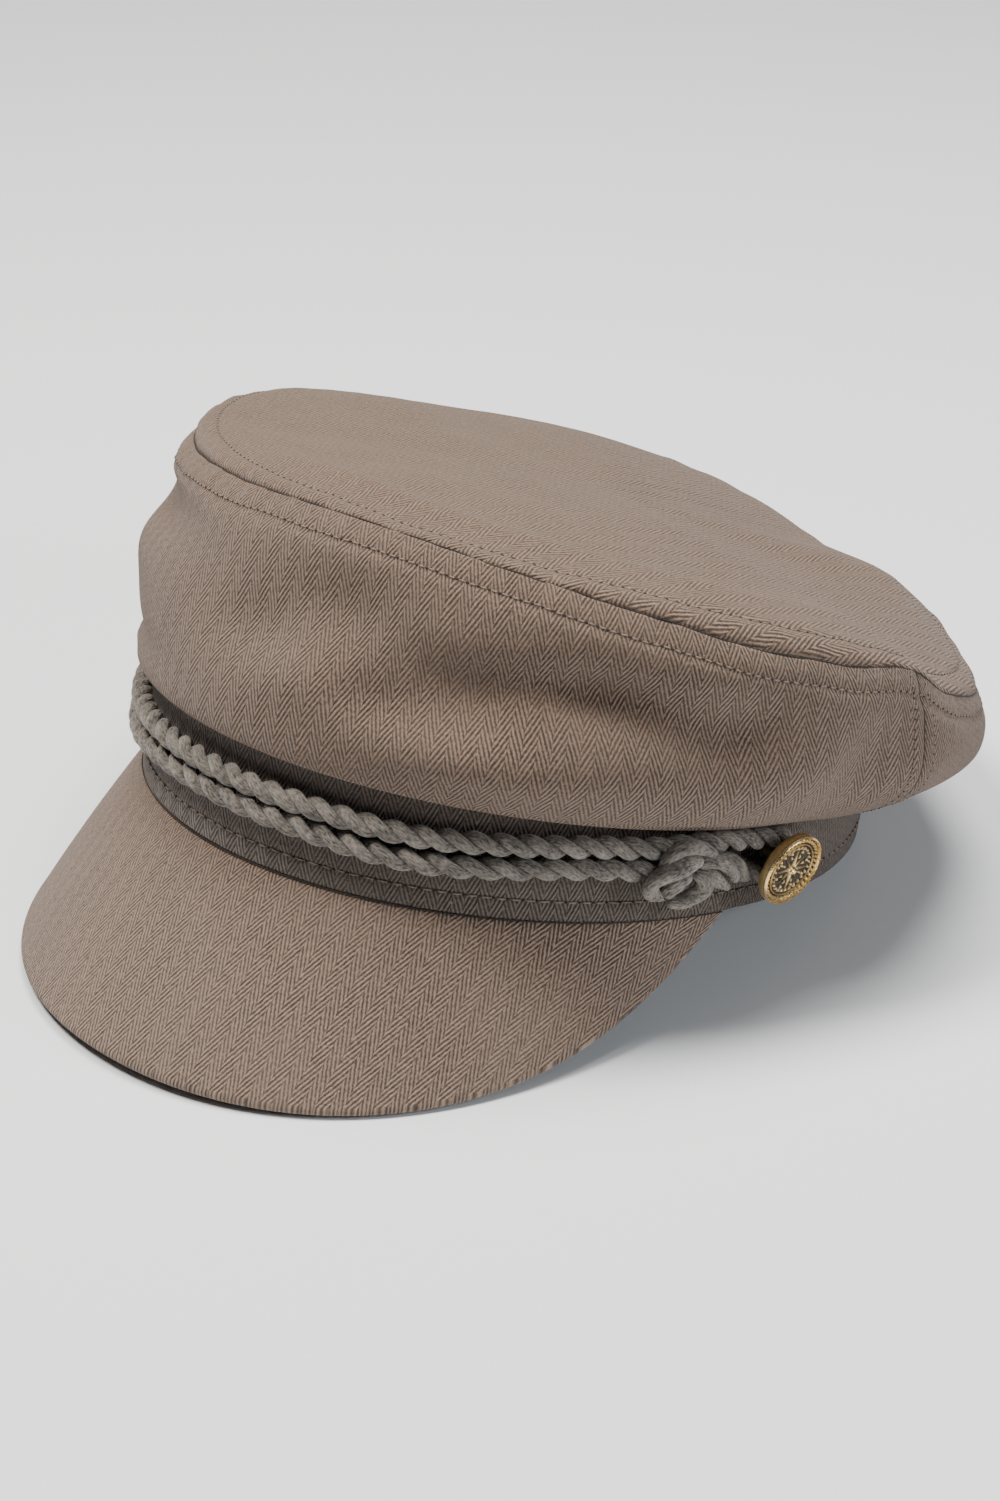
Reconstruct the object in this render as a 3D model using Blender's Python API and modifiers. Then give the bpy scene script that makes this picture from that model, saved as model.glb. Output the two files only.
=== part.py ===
# Fisherman cap: a soft crown of a top panel and two side panels on a stiff band, a stiffened
# peak, and two twisted cords that end in a knot and a metal button over each temple.
# Metres, +Z up. The wearer faces -Y and the wearer's left is +X. The cap stands as it rests by
# itself, on the rim of its peak and the back of its band, so the front of the band is raised.
# Each piece is modelled level, with the lower edge of the band at height 0, and an empty that
# carries them all tilts them to that rest.

import math
import bpy
import bmesh
from mathutils import Matrix, Vector

# Band, measured outside
BAND_LENGTH = 0.2024
BAND_WIDTH = 0.1716
BAND_HEIGHT = 0.0320
BAND_WALL = 0.0024

# Crown: its top seam is an oval that stands out over the band, high in front
CLOTH = 0.0016
TOP_LENGTH = 0.2048
TOP_WIDTH = 0.2172
TOP_BACK = 0.0138
SEAM_HEIGHT = 0.0688
SEAM_RISE = 0.0157
TOP_DOME = 0.0104
SHOULDER_WIDE = 0.0110
SIDE_PUFF = 0.0070
PUFF_FRONT = 0.46
PUFF_LEFT = 0.32
PUFF_LOW = 0.56
FOLD_FADE = 6.0
OVERHANG = 0.0049
ROLL_DROP_FRONT = 0.0030
ROLL_DROP_BACK = 0.0168
SIDE_SEAM_DEG = 90.0
SIDE_SEAM_LEAN_DEG = 14.0

# Peak
PEAK_REACH = 0.0566
PEAK_WALL = 0.0030
PEAK_HALF_DEG = 82.8
PEAK_SLOPE_DEG = 56.9
PEAK_END_SLOPE_DEG = 82.0
PEAK_TIP = 0.0020
PEAK_ROUNDNESS = 2.35
PEAK_STEEPENING = 2.4

# Cords, their heights on the band, and the knots that end them
CORD_THICK = 0.0052
CORD_UPPER_HEIGHT = 0.0198
CORD_LOWER_HEIGHT = 0.0142
CORD_UPPER_PITCH = 0.0198
CORD_LOWER_PITCH = 0.0228
CORD_LOBE_DEPTH = 0.26
KNOT_DEG = 71.5
KNOT_HEIGHT = 0.0156
KNOT_LENGTH = 0.0150
KNOT_STRAND = 0.0046
KNOT_LEAN = 0.0030
EYE_OPENS = 0.45

# Buttons
BUTTON_DIAMETER = 0.0190
BUTTON_DEPTH = 0.0032
BUTTON_DEG = 88.7
BUTTON_HEIGHT = 0.0136
BUTTON_NOD_DEG = 11.0
BUTTON_SHANK = 0.0036
STAR_POINTS = 8
STAR_TIP = 0.34
STAR_WAIST = 0.45
STAR_FLOOR = 0.50
STAR_TOP = 1.08

# Clearance between neighbours, and how far the cloth flattens where the cap rests
GAP = 0.0003
PRESS = 0.0008

# Waves of the top seam's height round the head, as shares of SEAM_RISE
SEAM_WAVES = [
    {"waves": 1, "cosine": 1.00, "sine": -0.32},
    {"waves": 2, "cosine": 0.02, "sine": 0.36},
    {"waves": 3, "cosine": 0.01, "sine": -0.06},
]

# Pulls in the top seam: place round the head, half width, rise as a share of SEAM_RISE, and how
# far in it is drawn as a share of TOP_WIDTH
SEAM_PULLS = [
    {"deg": 14, "wide_deg": 30, "rise": 0.10, "in": 0.000},
    {"deg": 72, "wide_deg": 34, "rise": 0.07, "in": 0.000},
    {"deg": 132, "wide_deg": 14, "rise": 0.00, "in": 0.003},
    {"deg": 150, "wide_deg": 34, "rise": 0.16, "in": 0.006},
    {"deg": -46, "wide_deg": 26, "rise": 0.14, "in": 0.014},
    {"deg": -88, "wide_deg": 30, "rise": 0.09, "in": 0.000},
]

# The soft shoulder that the top panel makes beside its seam: place round the head, how far it is
# lifted, and how far the seam drops below it
SHOULDERS = [
    {"deg": -165, "lift": 0.0014, "drop": 0.0025},
    {"deg": -115, "lift": -0.0013, "drop": 0.0025},
    {"deg": -75, "lift": 0.0020, "drop": 0.0030},
    {"deg": -38, "lift": 0.0004, "drop": 0.0045},
    {"deg": -15, "lift": 0.0006, "drop": 0.0030},
    {"deg": 0, "lift": 0.0008, "drop": 0.0020},
    {"deg": 14, "lift": -0.0003, "drop": 0.0004},
    {"deg": 30, "lift": 0.0000, "drop": 0.0012},
    {"deg": 50, "lift": 0.0010, "drop": 0.0032},
    {"deg": 63, "lift": 0.0018, "drop": 0.0050},
    {"deg": 75, "lift": 0.0028, "drop": 0.0045},
    {"deg": 88, "lift": 0.0024, "drop": 0.0010},
    {"deg": 101, "lift": -0.0012, "drop": 0.0018},
    {"deg": 115, "lift": -0.0010, "drop": 0.0028},
    {"deg": 135, "lift": 0.0004, "drop": 0.0030},
    {"deg": 150, "lift": 0.0026, "drop": 0.0030},
    {"deg": 171, "lift": -0.0014, "drop": 0.0025},
]

# Hollows and ridges of the side: place round the head, climb from roll to seam, half widths of
# each, and depth as a share of SIDE_PUFF, inward when negative
SIDE_FOLDS = [
    {"deg": 36, "climb": 0.64, "wide_deg": 17, "tall": 0.20, "depth": -0.40},
    {"deg": 74, "climb": 0.60, "wide_deg": 15, "tall": 0.24, "depth": -0.42},
    {"deg": 56, "climb": 0.70, "wide_deg": 12, "tall": 0.22, "depth": 0.20},
    {"deg": 10, "climb": 0.35, "wide_deg": 14, "tall": 0.26, "depth": 0.16},
    {"deg": -40, "climb": 0.93, "wide_deg": 16, "tall": 0.08, "depth": 0.40},
    {"deg": -36, "climb": 0.76, "wide_deg": 12, "tall": 0.10, "depth": -0.42},
    {"deg": -40, "climb": 0.54, "wide_deg": 18, "tall": 0.16, "depth": 0.44},
    {"deg": -42, "climb": 0.25, "wide_deg": 20, "tall": 0.14, "depth": -0.36},
    {"deg": 104, "climb": 0.62, "wide_deg": 7, "tall": 0.40, "depth": 0.34},
    {"deg": 126, "climb": 0.34, "wide_deg": 20, "tall": 0.26, "depth": 0.26},
    {"deg": 148, "climb": 0.58, "wide_deg": 12, "tall": 0.28, "depth": -0.34},
    {"deg": -78, "climb": 0.60, "wide_deg": 18, "tall": 0.24, "depth": -0.34},
    {"deg": -140, "climb": 0.55, "wide_deg": 16, "tall": 0.28, "depth": -0.30},
]

# Hollows and ridges of the top: place round the head, reach from centre to rim, half widths of
# each, and height as a share of TOP_DOME
TOP_FOLDS = [
    {"deg": 25, "reach": 0.66, "wide_deg": 30, "long": 0.16, "height": 0.16},
    {"deg": 66, "reach": 0.62, "wide_deg": 26, "long": 0.20, "height": -0.20},
    {"deg": 142, "reach": 0.82, "wide_deg": 30, "long": 0.24, "height": 0.50},
    {"deg": -60, "reach": 0.60, "wide_deg": 30, "long": 0.22, "height": -0.16},
]

# Waves of the cords' heights: place to each side of the front, half width, and rise of each cord
CORD_WAVES = [
    {"deg": 33, "wide_deg": 14, "upper": -0.0012, "lower": -0.0019},
    {"deg": 60, "wide_deg": 9, "upper": 0.0004, "lower": 0.0005},
]

# Rings of a knot from front to back: place along its half length, and girth
KNOT_RINGS = [
    {"along": -0.94, "girth": 0.66},
    {"along": -0.66, "girth": 1.00},
    {"along": -0.34, "girth": 0.80},
    {"along": 0.00, "girth": 1.08},
    {"along": 0.34, "girth": 0.80},
    {"along": 0.66, "girth": 1.00},
    {"along": 0.94, "girth": 0.66},
]

# Profile of a button's head from the middle of its face to its back: reach as a share of its
# radius, and height as a share of BUTTON_DEPTH
BUTTON_PROFILE = [
    {"reach": 0.00, "height": 0.74},
    {"reach": 0.50, "height": 0.72},
    {"reach": 0.76, "height": 0.60},
    {"reach": 0.80, "height": 0.92},
    {"reach": 0.88, "height": 1.00},
    {"reach": 0.97, "height": 0.88},
    {"reach": 1.00, "height": 0.60},
    {"reach": 0.98, "height": 0.10},
    {"reach": 0.92, "height": 0.00},
]

# Fineness of the meshes
ROUND_COLUMNS = 64
SIDE_CLIMBS = [0.05, 0.16, 0.30, 0.45, 0.60, 0.75, 0.89, 1.0]
TOP_RINGS = [1.0, 0.988, 0.962, 0.92, 0.82, 0.66, 0.46, 0.24]
PEAK_COLUMNS = 34
PEAK_ROWS = 4
CORD_STEPS_PER_TURN = 8
BUTTON_STEPS = 24

# Sizes that follow from the ones above
CORD_OUT = GAP + CORD_THICK / 2
BUTTON_NOD = math.radians(BUTTON_NOD_DEG)
BUTTON_OUT = CORD_THICK + 2 * GAP + BUTTON_DIAMETER / 2 * math.sin(BUTTON_NOD)
SHANK_LIFT = GAP + BUTTON_SHANK / 2 * math.sin(BUTTON_NOD)
SHANK_LENGTH = (BUTTON_OUT - SHANK_LIFT) / math.cos(BUTTON_NOD)
KNOT_TALL = (CORD_UPPER_HEIGHT - CORD_LOWER_HEIGHT + CORD_THICK + KNOT_STRAND * 0.8) / 2


def clear_scene():
    for thing in list(bpy.data.objects):
        bpy.data.objects.remove(thing, do_unlink=True)


def new_collection(name):
    collection = bpy.data.collections.new(name)
    bpy.context.scene.collection.children.link(collection)
    return collection


def make_material(name, colour, roughness, metallic=0.0):
    material = bpy.data.materials.new(name)
    material.use_nodes = True
    shader = material.node_tree.nodes["Principled BSDF"]
    shader.inputs["Base Color"].default_value = (*colour, 1.0)
    shader.inputs["Roughness"].default_value = roughness
    shader.inputs["Metallic"].default_value = metallic
    return material


def bump(value, centre, half_width):
    return math.exp(-((value - centre) / half_width) ** 2)


def turned_away(degrees, centre):
    """Degrees between two places round the head, by the short way."""
    return abs((degrees - centre + 180.0) % 360.0 - 180.0)


# The band's oval, and places on it

def outward(angle):
    """Level direction straight out of the band. Angle 0 is the front, and 90 degrees is +X."""
    across = math.sin(angle) / BAND_WIDTH
    along = -math.cos(angle) / BAND_LENGTH
    return Vector((across, along, 0.0)).normalized()


def on_band(angle, height=0.0, out=0.0):
    oval = Vector((BAND_WIDTH / 2 * math.sin(angle), -BAND_LENGTH / 2 * math.cos(angle), height))
    return oval + outward(angle) * out


def band_step(angle):
    """Length of band that one radian covers here."""
    return math.hypot(BAND_WIDTH / 2 * math.cos(angle), BAND_LENGTH / 2 * math.sin(angle))


# The crown's surface

def roll_height(angle):
    """Height of the crown's rolled lower edge, which droops towards the back."""
    middle = (ROLL_DROP_FRONT + ROLL_DROP_BACK) / 2
    swing = (ROLL_DROP_BACK - ROLL_DROP_FRONT) / 2
    return BAND_HEIGHT - middle + swing * math.cos(angle)


def at_shoulder(angle, word):
    """Lift or drop of the shoulder here, eased from row to row of its table."""
    place = math.degrees(angle) % 360.0
    rows = sorted(SHOULDERS, key=lambda row: row["deg"] % 360.0)
    after = next((row for row in rows if row["deg"] % 360.0 > place), rows[0])
    before = rows[rows.index(after) - 1]
    span = (after["deg"] - before["deg"]) % 360.0
    part = ((place - before["deg"]) % 360.0) / span
    ease = 0.5 - 0.5 * math.cos(math.pi * part)
    return before[word] + (after[word] - before[word]) * ease


def seam_point(angle):
    """The top seam. It lies below the soft shoulder that the top panel makes beside it."""
    height = SEAM_HEIGHT + at_shoulder(angle, "lift") - at_shoulder(angle, "drop")
    for row in SEAM_WAVES:
        turn = row["waves"] * angle
        height += SEAM_RISE * (row["cosine"] * math.cos(turn) + row["sine"] * math.sin(turn))
    drawn_in = 0.0
    for row in SEAM_PULLS:
        pull = bump(turned_away(math.degrees(angle), row["deg"]), 0.0, row["wide_deg"])
        height += SEAM_RISE * row["rise"] * pull
        drawn_in += TOP_WIDTH * row["in"] * pull
    across = (TOP_WIDTH / 2 - drawn_in) * math.sin(angle)
    along = TOP_BACK - (TOP_LENGTH / 2 - drawn_in) * math.cos(angle)
    return Vector((across, along, height))


def side_belly(angle, climb):
    """How far the side stands out from the straight line between roll and seam."""
    puff = SIDE_PUFF * (1.0 - PUFF_FRONT * math.cos(angle) + PUFF_LEFT * math.sin(angle))
    belly = 4.0 * climb * (1.0 - climb) * (1.0 + PUFF_LOW * (1.0 - 2.0 * climb))
    folds = 0.0
    for row in SIDE_FOLDS:
        away = turned_away(math.degrees(angle), row["deg"])
        place = bump(away, 0.0, row["wide_deg"]) * bump(climb, row["climb"], row["tall"])
        folds += row["depth"] * place * min(1.0, FOLD_FADE * (1.0 - climb), FOLD_FADE * climb)
    return puff * belly + SIDE_PUFF * folds


def side_point(column, climb):
    """A point of the side. Its columns lean back towards the roll, as the side seams do."""
    lean = math.radians(SIDE_SEAM_LEAN_DEG) * math.sin(column)
    angle = column + lean * (1.0 - climb)
    foot = on_band(angle, roll_height(angle), OVERHANG)
    line = foot.lerp(seam_point(angle), climb)
    return line + outward(angle) * side_belly(angle, climb)


def top_point(angle, reach):
    drop = at_shoulder(angle, "drop")
    rim = seam_point(angle)
    shoulder = Vector((rim.x, rim.y, rim.z + drop))
    centre = Vector((0.0, TOP_BACK, SEAM_HEIGHT))
    point = centre.lerp(shoulder, reach)
    point.z += TOP_DOME * (1.0 - reach ** 2)
    inside = min(1.0, (1.0 - reach) * (TOP_WIDTH + TOP_LENGTH) / 4 / SHOULDER_WIDE)
    point.z -= drop * (1.0 - math.sqrt(1.0 - (1.0 - inside) ** 2))
    for row in TOP_FOLDS:
        away = turned_away(math.degrees(angle), row["deg"])
        place = bump(away, 0.0, row["wide_deg"]) * bump(reach, row["reach"], row["long"])
        point.z += TOP_DOME * row["height"] * place * min(1.0, FOLD_FADE * (1.0 - reach))
    return point


# The peak's surface

def peak_slope(share):
    """Slope under the horizon, which grows from the front to the ends."""
    steeper = (PEAK_END_SLOPE_DEG - PEAK_SLOPE_DEG) * abs(share) ** PEAK_STEEPENING
    return math.radians(PEAK_SLOPE_DEG + steeper)


def peak_point(share, reach):
    """Share runs from -1 to 1 across the peak, and reach from 0 at the band to 1 at the rim."""
    angle = math.radians(PEAK_HALF_DEG) * share
    slope = peak_slope(share)
    width = PEAK_TIP + (PEAK_REACH - PEAK_TIP) * (1.0 - abs(share) ** PEAK_ROUNDNESS)
    down = outward(angle) * math.cos(slope) - Vector((0.0, 0.0, math.sin(slope)))
    return on_band(angle, -GAP) + down * width * reach


# Building tools

def mesh_object(name, mesh, material, collection, parent):
    thing = bpy.data.objects.new(name, mesh)
    mesh.materials.clear()
    mesh.materials.append(material)
    collection.objects.link(thing)
    thing.parent = parent
    return thing


def grid_mesh(name, rows, ring=False, middle=None):
    """Open surface through rows of points, each row running anticlockwise seen from above."""
    sheet = bmesh.new()
    lines = [[sheet.verts.new(point) for point in row] for row in rows]
    count = len(rows[0])
    last = count if ring else count - 1
    for lower, upper in zip(lines, lines[1:]):
        for column in range(last):
            after = (column + 1) % count
            sheet.faces.new((lower[column], lower[after], upper[after], upper[column]))
    if middle is not None:
        hub = sheet.verts.new(middle)
        for column in range(last):
            after = (column + 1) % count
            sheet.faces.new((lines[-1][column], lines[-1][after], hub))
    mesh = bpy.data.meshes.new(name)
    sheet.to_mesh(mesh)
    sheet.free()
    mesh.shade_smooth()
    mesh.set_sharp_from_angle(angle=math.radians(40))
    return mesh


def add_wall(thing, thickness):
    """Give an open surface its thickness, on the side away from its faces."""
    wall = thing.modifiers.new("wall", "SOLIDIFY")
    wall.thickness = thickness
    wall.offset = -1.0
    wall.use_even_offset = True


def cut_with(thing, cutter, operation="DIFFERENCE"):
    cut = thing.modifiers.new(cutter.name, "BOOLEAN")
    cut.operation = operation
    cut.object = cutter


def evaluated_mesh(thing):
    graph = bpy.context.evaluated_depsgraph_get()
    return bpy.data.meshes.new_from_object(thing.evaluated_get(graph))


def tube_mesh(name, points, thickness, collection):
    """Round tube through points, as one closed mesh."""
    curve = bpy.data.curves.new(name, "CURVE")
    curve.dimensions = "3D"
    curve.bevel_depth = thickness / 2
    curve.bevel_resolution = 2
    curve.use_fill_caps = True
    spline = curve.splines.new("POLY")
    spline.points.add(len(points) - 1)
    for spot, point in zip(spline.points, points):
        spot.co = (*point, 1.0)
    tube = bpy.data.objects.new(name, curve)
    collection.objects.link(tube)
    bpy.context.view_layer.update()
    mesh = evaluated_mesh(tube)
    bpy.data.objects.remove(tube, do_unlink=True)
    weld = bmesh.new()
    weld.from_mesh(mesh)
    bmesh.ops.remove_doubles(weld, verts=weld.verts, dist=1e-6)
    bmesh.ops.recalc_face_normals(weld, faces=weld.faces)
    weld.to_mesh(mesh)
    weld.free()
    return mesh


def smooth_route(points, steps):
    """Points along a smooth curve through the given ones, steps to each stretch."""
    ends = [points[0] * 2 - points[1], *points, points[-1] * 2 - points[-2]]
    route = []
    for index in range(1, len(ends) - 2):
        before, start, end, after = ends[index - 1:index + 3]
        for step in range(steps):
            part = step / steps
            pull = (end - before) * 0.5
            push = (after - start) * 0.5
            turn = start * 2 - end * 2 + pull + push
            bend = (end - start) * 3 - pull * 2 - push
            route.append(start + pull * part + bend * part ** 2 + turn * part ** 3)
    return [*route, points[-1].copy()]


# The pieces

def band(material, collection, parent):
    columns = [2 * math.pi * step / ROUND_COLUMNS for step in range(ROUND_COLUMNS)]
    rows = [[on_band(angle, height) for angle in columns] for height in (0.0, BAND_HEIGHT)]
    thing = mesh_object("band", grid_mesh("band", rows, ring=True), material, collection, parent)
    add_wall(thing, BAND_WALL)
    return thing


def hem_rows(columns):
    """The crown's lower edge: in over the band's top, down beside the band, and round its roll."""
    curl = (OVERHANG - GAP) / 2
    rows = []
    for out, height in ((-BAND_WALL, BAND_HEIGHT + GAP), (GAP, BAND_HEIGHT + GAP)):
        rows.append([on_band(angle, height, out) for angle in columns])
    for turn_deg in (180, 270):
        turn = math.radians(turn_deg)
        out = GAP + curl + curl * math.cos(turn)
        rise = curl + curl * math.sin(turn)
        rows.append([on_band(angle, roll_height(angle) + rise, out) for angle in columns])
    return rows


def side_panel(name, start_deg, end_deg, material, collection, parent):
    """A side panel between two side seams, from inside the band's top up to the top seam."""
    half_gap = GAP / (BAND_WIDTH + TOP_WIDTH) * 2
    start = math.radians(start_deg) + half_gap
    end = math.radians(end_deg) - half_gap
    count = ROUND_COLUMNS // 2
    columns = [start + (end - start) * step / count for step in range(count + 1)]
    lean = math.radians(SIDE_SEAM_LEAN_DEG)
    rows = hem_rows([angle + lean * math.sin(angle) for angle in columns])
    for climb in SIDE_CLIMBS:
        rows.append([side_point(angle, climb) for angle in columns])
    under_top = Vector((0.0, 0.0, CLOTH + 2 * GAP))
    rows[-1] = [point - under_top for point in rows[-1]]
    thing = mesh_object(name, grid_mesh(name, rows), material, collection, parent)
    add_wall(thing, CLOTH)
    return thing


def crown_top(material, collection, parent):
    columns = [2 * math.pi * step / ROUND_COLUMNS for step in range(ROUND_COLUMNS)]
    rows = [[top_point(angle, reach) for angle in columns] for reach in TOP_RINGS]
    mesh = grid_mesh("crown_top", rows, ring=True, middle=top_point(0.0, 0.0))
    thing = mesh_object("crown_top", mesh, material, collection, parent)
    add_wall(thing, CLOTH)
    return thing


def peak(material, collection, parent):
    shares = [2 * step / PEAK_COLUMNS - 1 for step in range(PEAK_COLUMNS + 1)]
    reaches = [1 - step / PEAK_ROWS for step in range(PEAK_ROWS + 1)]
    rows = [[peak_point(share, reach) for share in shares] for reach in reaches]
    thing = mesh_object("peak", grid_mesh("peak", rows), material, collection, parent)
    add_wall(thing, PEAK_WALL)
    return thing


def cord_height(word, level, angle):
    """Height of a cord here. It hangs a little lower between the front and each temple."""
    away = abs(math.degrees(angle))
    return level + sum(row[word] * bump(away, row["deg"], row["wide_deg"]) for row in CORD_WAVES)


def cord_section(collection):
    """Outline of a cord of three twisted strands."""
    curve = bpy.data.curves.new("cord_section", "CURVE")
    curve.dimensions = "2D"
    spline = curve.splines.new("POLY")
    spline.points.add(5)
    spline.use_cyclic_u = True
    for index, spot in enumerate(spline.points):
        radius = CORD_THICK / 2 * (1.0 - CORD_LOBE_DEPTH * (index % 2))
        turn = -math.radians(60 * index)
        spot.co = (radius * math.cos(turn), radius * math.sin(turn), 0.0, 1.0)
    section = bpy.data.objects.new("cord_section", curve)
    section.hide_render = True
    section.display_type = "WIRE"
    collection.objects.link(section)
    return section


def cord(word, level, pitch, section, material, collection, parent):
    """A twisted cord across the front of the band, from knot to knot."""
    lean = KNOT_LEAN * (level - CORD_THICK / 2 - KNOT_HEIGHT) / KNOT_TALL
    end = math.radians(KNOT_DEG)
    end -= (KNOT_LENGTH / 2 - min(0.0, lean) + GAP) / band_step(end)
    length = 2 * end * (BAND_LENGTH + BAND_WIDTH) / 4
    steps = round(length / pitch * CORD_STEPS_PER_TURN)
    name = f"cord_{word}"
    curve = bpy.data.curves.new(name, "CURVE")
    curve.dimensions = "3D"
    curve.bevel_mode = "OBJECT"
    curve.bevel_object = section
    curve.use_fill_caps = True
    spline = curve.splines.new("POLY")
    spline.points.add(steps)
    for index, spot in enumerate(spline.points):
        angle = -end + 2 * end * index / steps
        spot.co = (*on_band(angle, cord_height(word, level, angle), CORD_OUT), 1.0)
        spot.tilt = 2 * math.pi * index / CORD_STEPS_PER_TURN
    curve.materials.append(material)
    thing = bpy.data.objects.new(name, curve)
    collection.objects.link(thing)
    thing.parent = parent
    return thing


def knot_place(side, along, height, out):
    """A point near a knot: along runs back from the knot's middle, round the band."""
    angle = math.radians(KNOT_DEG) + along / band_step(math.radians(KNOT_DEG))
    return on_band(side * angle, height, out)


def button_eye(side):
    """The cord past the knot: along its top to the button, round the shank and back."""
    tilt = math.tan(BUTTON_NOD)
    spread = (BUTTON_SHANK + KNOT_STRAND) / 2 + 2 * GAP + KNOT_STRAND / 2 * tilt
    shank_height = BUTTON_HEIGHT + (BUTTON_OUT - CORD_OUT) * tilt
    to_button = math.radians(BUTTON_DEG - KNOT_DEG) * band_step(math.radians(KNOT_DEG))
    return [
        knot_place(side, 0.0, CORD_UPPER_HEIGHT, CORD_OUT),
        knot_place(side, to_button * EYE_OPENS, CORD_UPPER_HEIGHT, CORD_OUT),
        knot_place(side, to_button, shank_height + spread, CORD_OUT),
        knot_place(side, to_button + spread, shank_height, CORD_OUT),
        knot_place(side, to_button, shank_height - spread, CORD_OUT),
        knot_place(side, to_button * EYE_OPENS, CORD_LOWER_HEIGHT, CORD_OUT),
        knot_place(side, 0.0, CORD_LOWER_HEIGHT, CORD_OUT),
    ]


def knot_barrel(side):
    """The knot's three wraps round both cords, as one ridged barrel that leans back."""
    depth = (CORD_THICK + KNOT_STRAND) / 2
    barrel = bmesh.new()
    bmesh.ops.create_uvsphere(barrel, u_segments=12, v_segments=len(KNOT_RINGS) + 1, radius=1.0)
    for spot in barrel.verts:
        ring = round(math.acos(max(-1.0, min(1.0, spot.co.z))) / math.pi * (len(KNOT_RINGS) + 1))
        turn = math.atan2(spot.co.y, spot.co.x)
        if 1 <= ring <= len(KNOT_RINGS):
            along, girth = KNOT_RINGS[ring - 1]["along"], KNOT_RINGS[ring - 1]["girth"]
        else:
            along, girth = (-1.0 if ring == 0 else 1.0), 0.0
        rise = KNOT_TALL * girth * math.sin(turn)
        lean = KNOT_LEAN * rise / KNOT_TALL
        out = max(GAP, GAP + depth + depth * girth * math.cos(turn))
        spot.co = knot_place(side, along * KNOT_LENGTH / 2 + lean, KNOT_HEIGHT + rise, out)
    bmesh.ops.recalc_face_normals(barrel, faces=barrel.faces)
    mesh = bpy.data.meshes.new("knot_barrel")
    barrel.to_mesh(mesh)
    barrel.free()
    return mesh


def knot(name, side, material, collection, guides, parent):
    """A knot, and the eye of cord past it that the button holds."""
    thing = mesh_object(name, knot_barrel(side), material, collection, parent)
    eye_mesh = tube_mesh(name + "_eye", smooth_route(button_eye(side), 4), KNOT_STRAND, guides)
    eye = mesh_object(name + "_eye", eye_mesh, material, guides, parent)
    eye.hide_render = True
    eye.display_type = "WIRE"
    cut_with(thing, eye, "UNION")
    return thing


def button_mesh():
    """The turned button: shank, back, rim and sunk face."""
    radius = BUTTON_DIAMETER / 2
    head = [(radius * row["reach"], BUTTON_DEPTH * row["height"]) for row in BUTTON_PROFILE]
    shank = [(BUTTON_SHANK / 2, 0.0), (BUTTON_SHANK / 2, -SHANK_LENGTH), (0.0, -SHANK_LENGTH)]
    profile = head + shank
    outline = bmesh.new()
    spots = [outline.verts.new((across, 0.0, height)) for across, height in profile]
    for spot, following in zip(spots, spots[1:]):
        outline.edges.new((spot, following))
    mesh = bpy.data.meshes.new("button")
    outline.to_mesh(mesh)
    outline.free()
    return mesh


def star_mesh():
    """The relief on the button: a plain star of eight points, low at its tips."""
    relief = bmesh.new()
    floor = BUTTON_DEPTH * STAR_FLOOR
    top = BUTTON_DEPTH * STAR_TOP
    corners = 2 * STAR_POINTS
    bmesh.ops.create_cone(
        relief, cap_ends=True, segments=corners, radius1=1.0, radius2=0.0, depth=top - floor,
        matrix=Matrix.Translation((0.0, 0.0, (top + floor) / 2)))
    tip = BUTTON_DIAMETER * STAR_TIP
    for spot in relief.verts:
        reach = math.hypot(spot.co.x, spot.co.y)
        if reach < 0.5:
            continue
        corner = round(math.atan2(spot.co.y, spot.co.x) / (2 * math.pi) * corners)
        size = tip if corner % 2 == 0 else tip * STAR_WAIST
        spot.co.x *= size / reach
        spot.co.y *= size / reach
    mesh = bpy.data.meshes.new("button_star")
    relief.to_mesh(mesh)
    relief.free()
    return mesh


def button(name, side, material, collection, guides, parent):
    """A button over a temple, facing outward and nodding a little down."""
    angle = math.radians(BUTTON_DEG) * side
    face = outward(angle)
    axis = face * math.cos(BUTTON_NOD) - Vector((0.0, 0.0, math.sin(BUTTON_NOD)))
    along = Vector((0.0, 0.0, 1.0)).cross(axis).normalized()
    place = Matrix((along, axis.cross(along), axis)).transposed().to_4x4()
    place.translation = on_band(angle, BUTTON_HEIGHT, BUTTON_OUT)
    thing = mesh_object(name, button_mesh(), material, collection, parent)
    thing.matrix_local = place
    turn = thing.modifiers.new("turn", "SCREW")
    turn.steps = BUTTON_STEPS
    turn.render_steps = BUTTON_STEPS
    turn.use_merge_vertices = True
    turn.merge_threshold = 0.00001
    star = mesh_object(name + "_star", star_mesh(), material, guides, parent)
    star.matrix_local = place
    star.hide_render = True
    star.display_type = "WIRE"
    cut_with(thing, star, "UNION")
    return thing


# Resting

def level_points(thing):
    mesh = evaluated_mesh(thing)
    points = [spot.co.copy() for spot in mesh.vertices]
    bpy.data.meshes.remove(mesh)
    return points


def lowest(points, pitch):
    return min(point.z * math.cos(pitch) - point.y * math.sin(pitch) for point in points)


def resting_pitch(peak_points, band_points):
    """The pitch at which the peak's rim and the band's back touch one level surface."""
    low, high = 0.0, math.radians(60)
    for _ in range(40):
        pitch = (low + high) / 2
        if lowest(peak_points, pitch) < lowest(band_points, pitch):
            low = pitch
        else:
            high = pitch
    return (low + high) / 2


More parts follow.
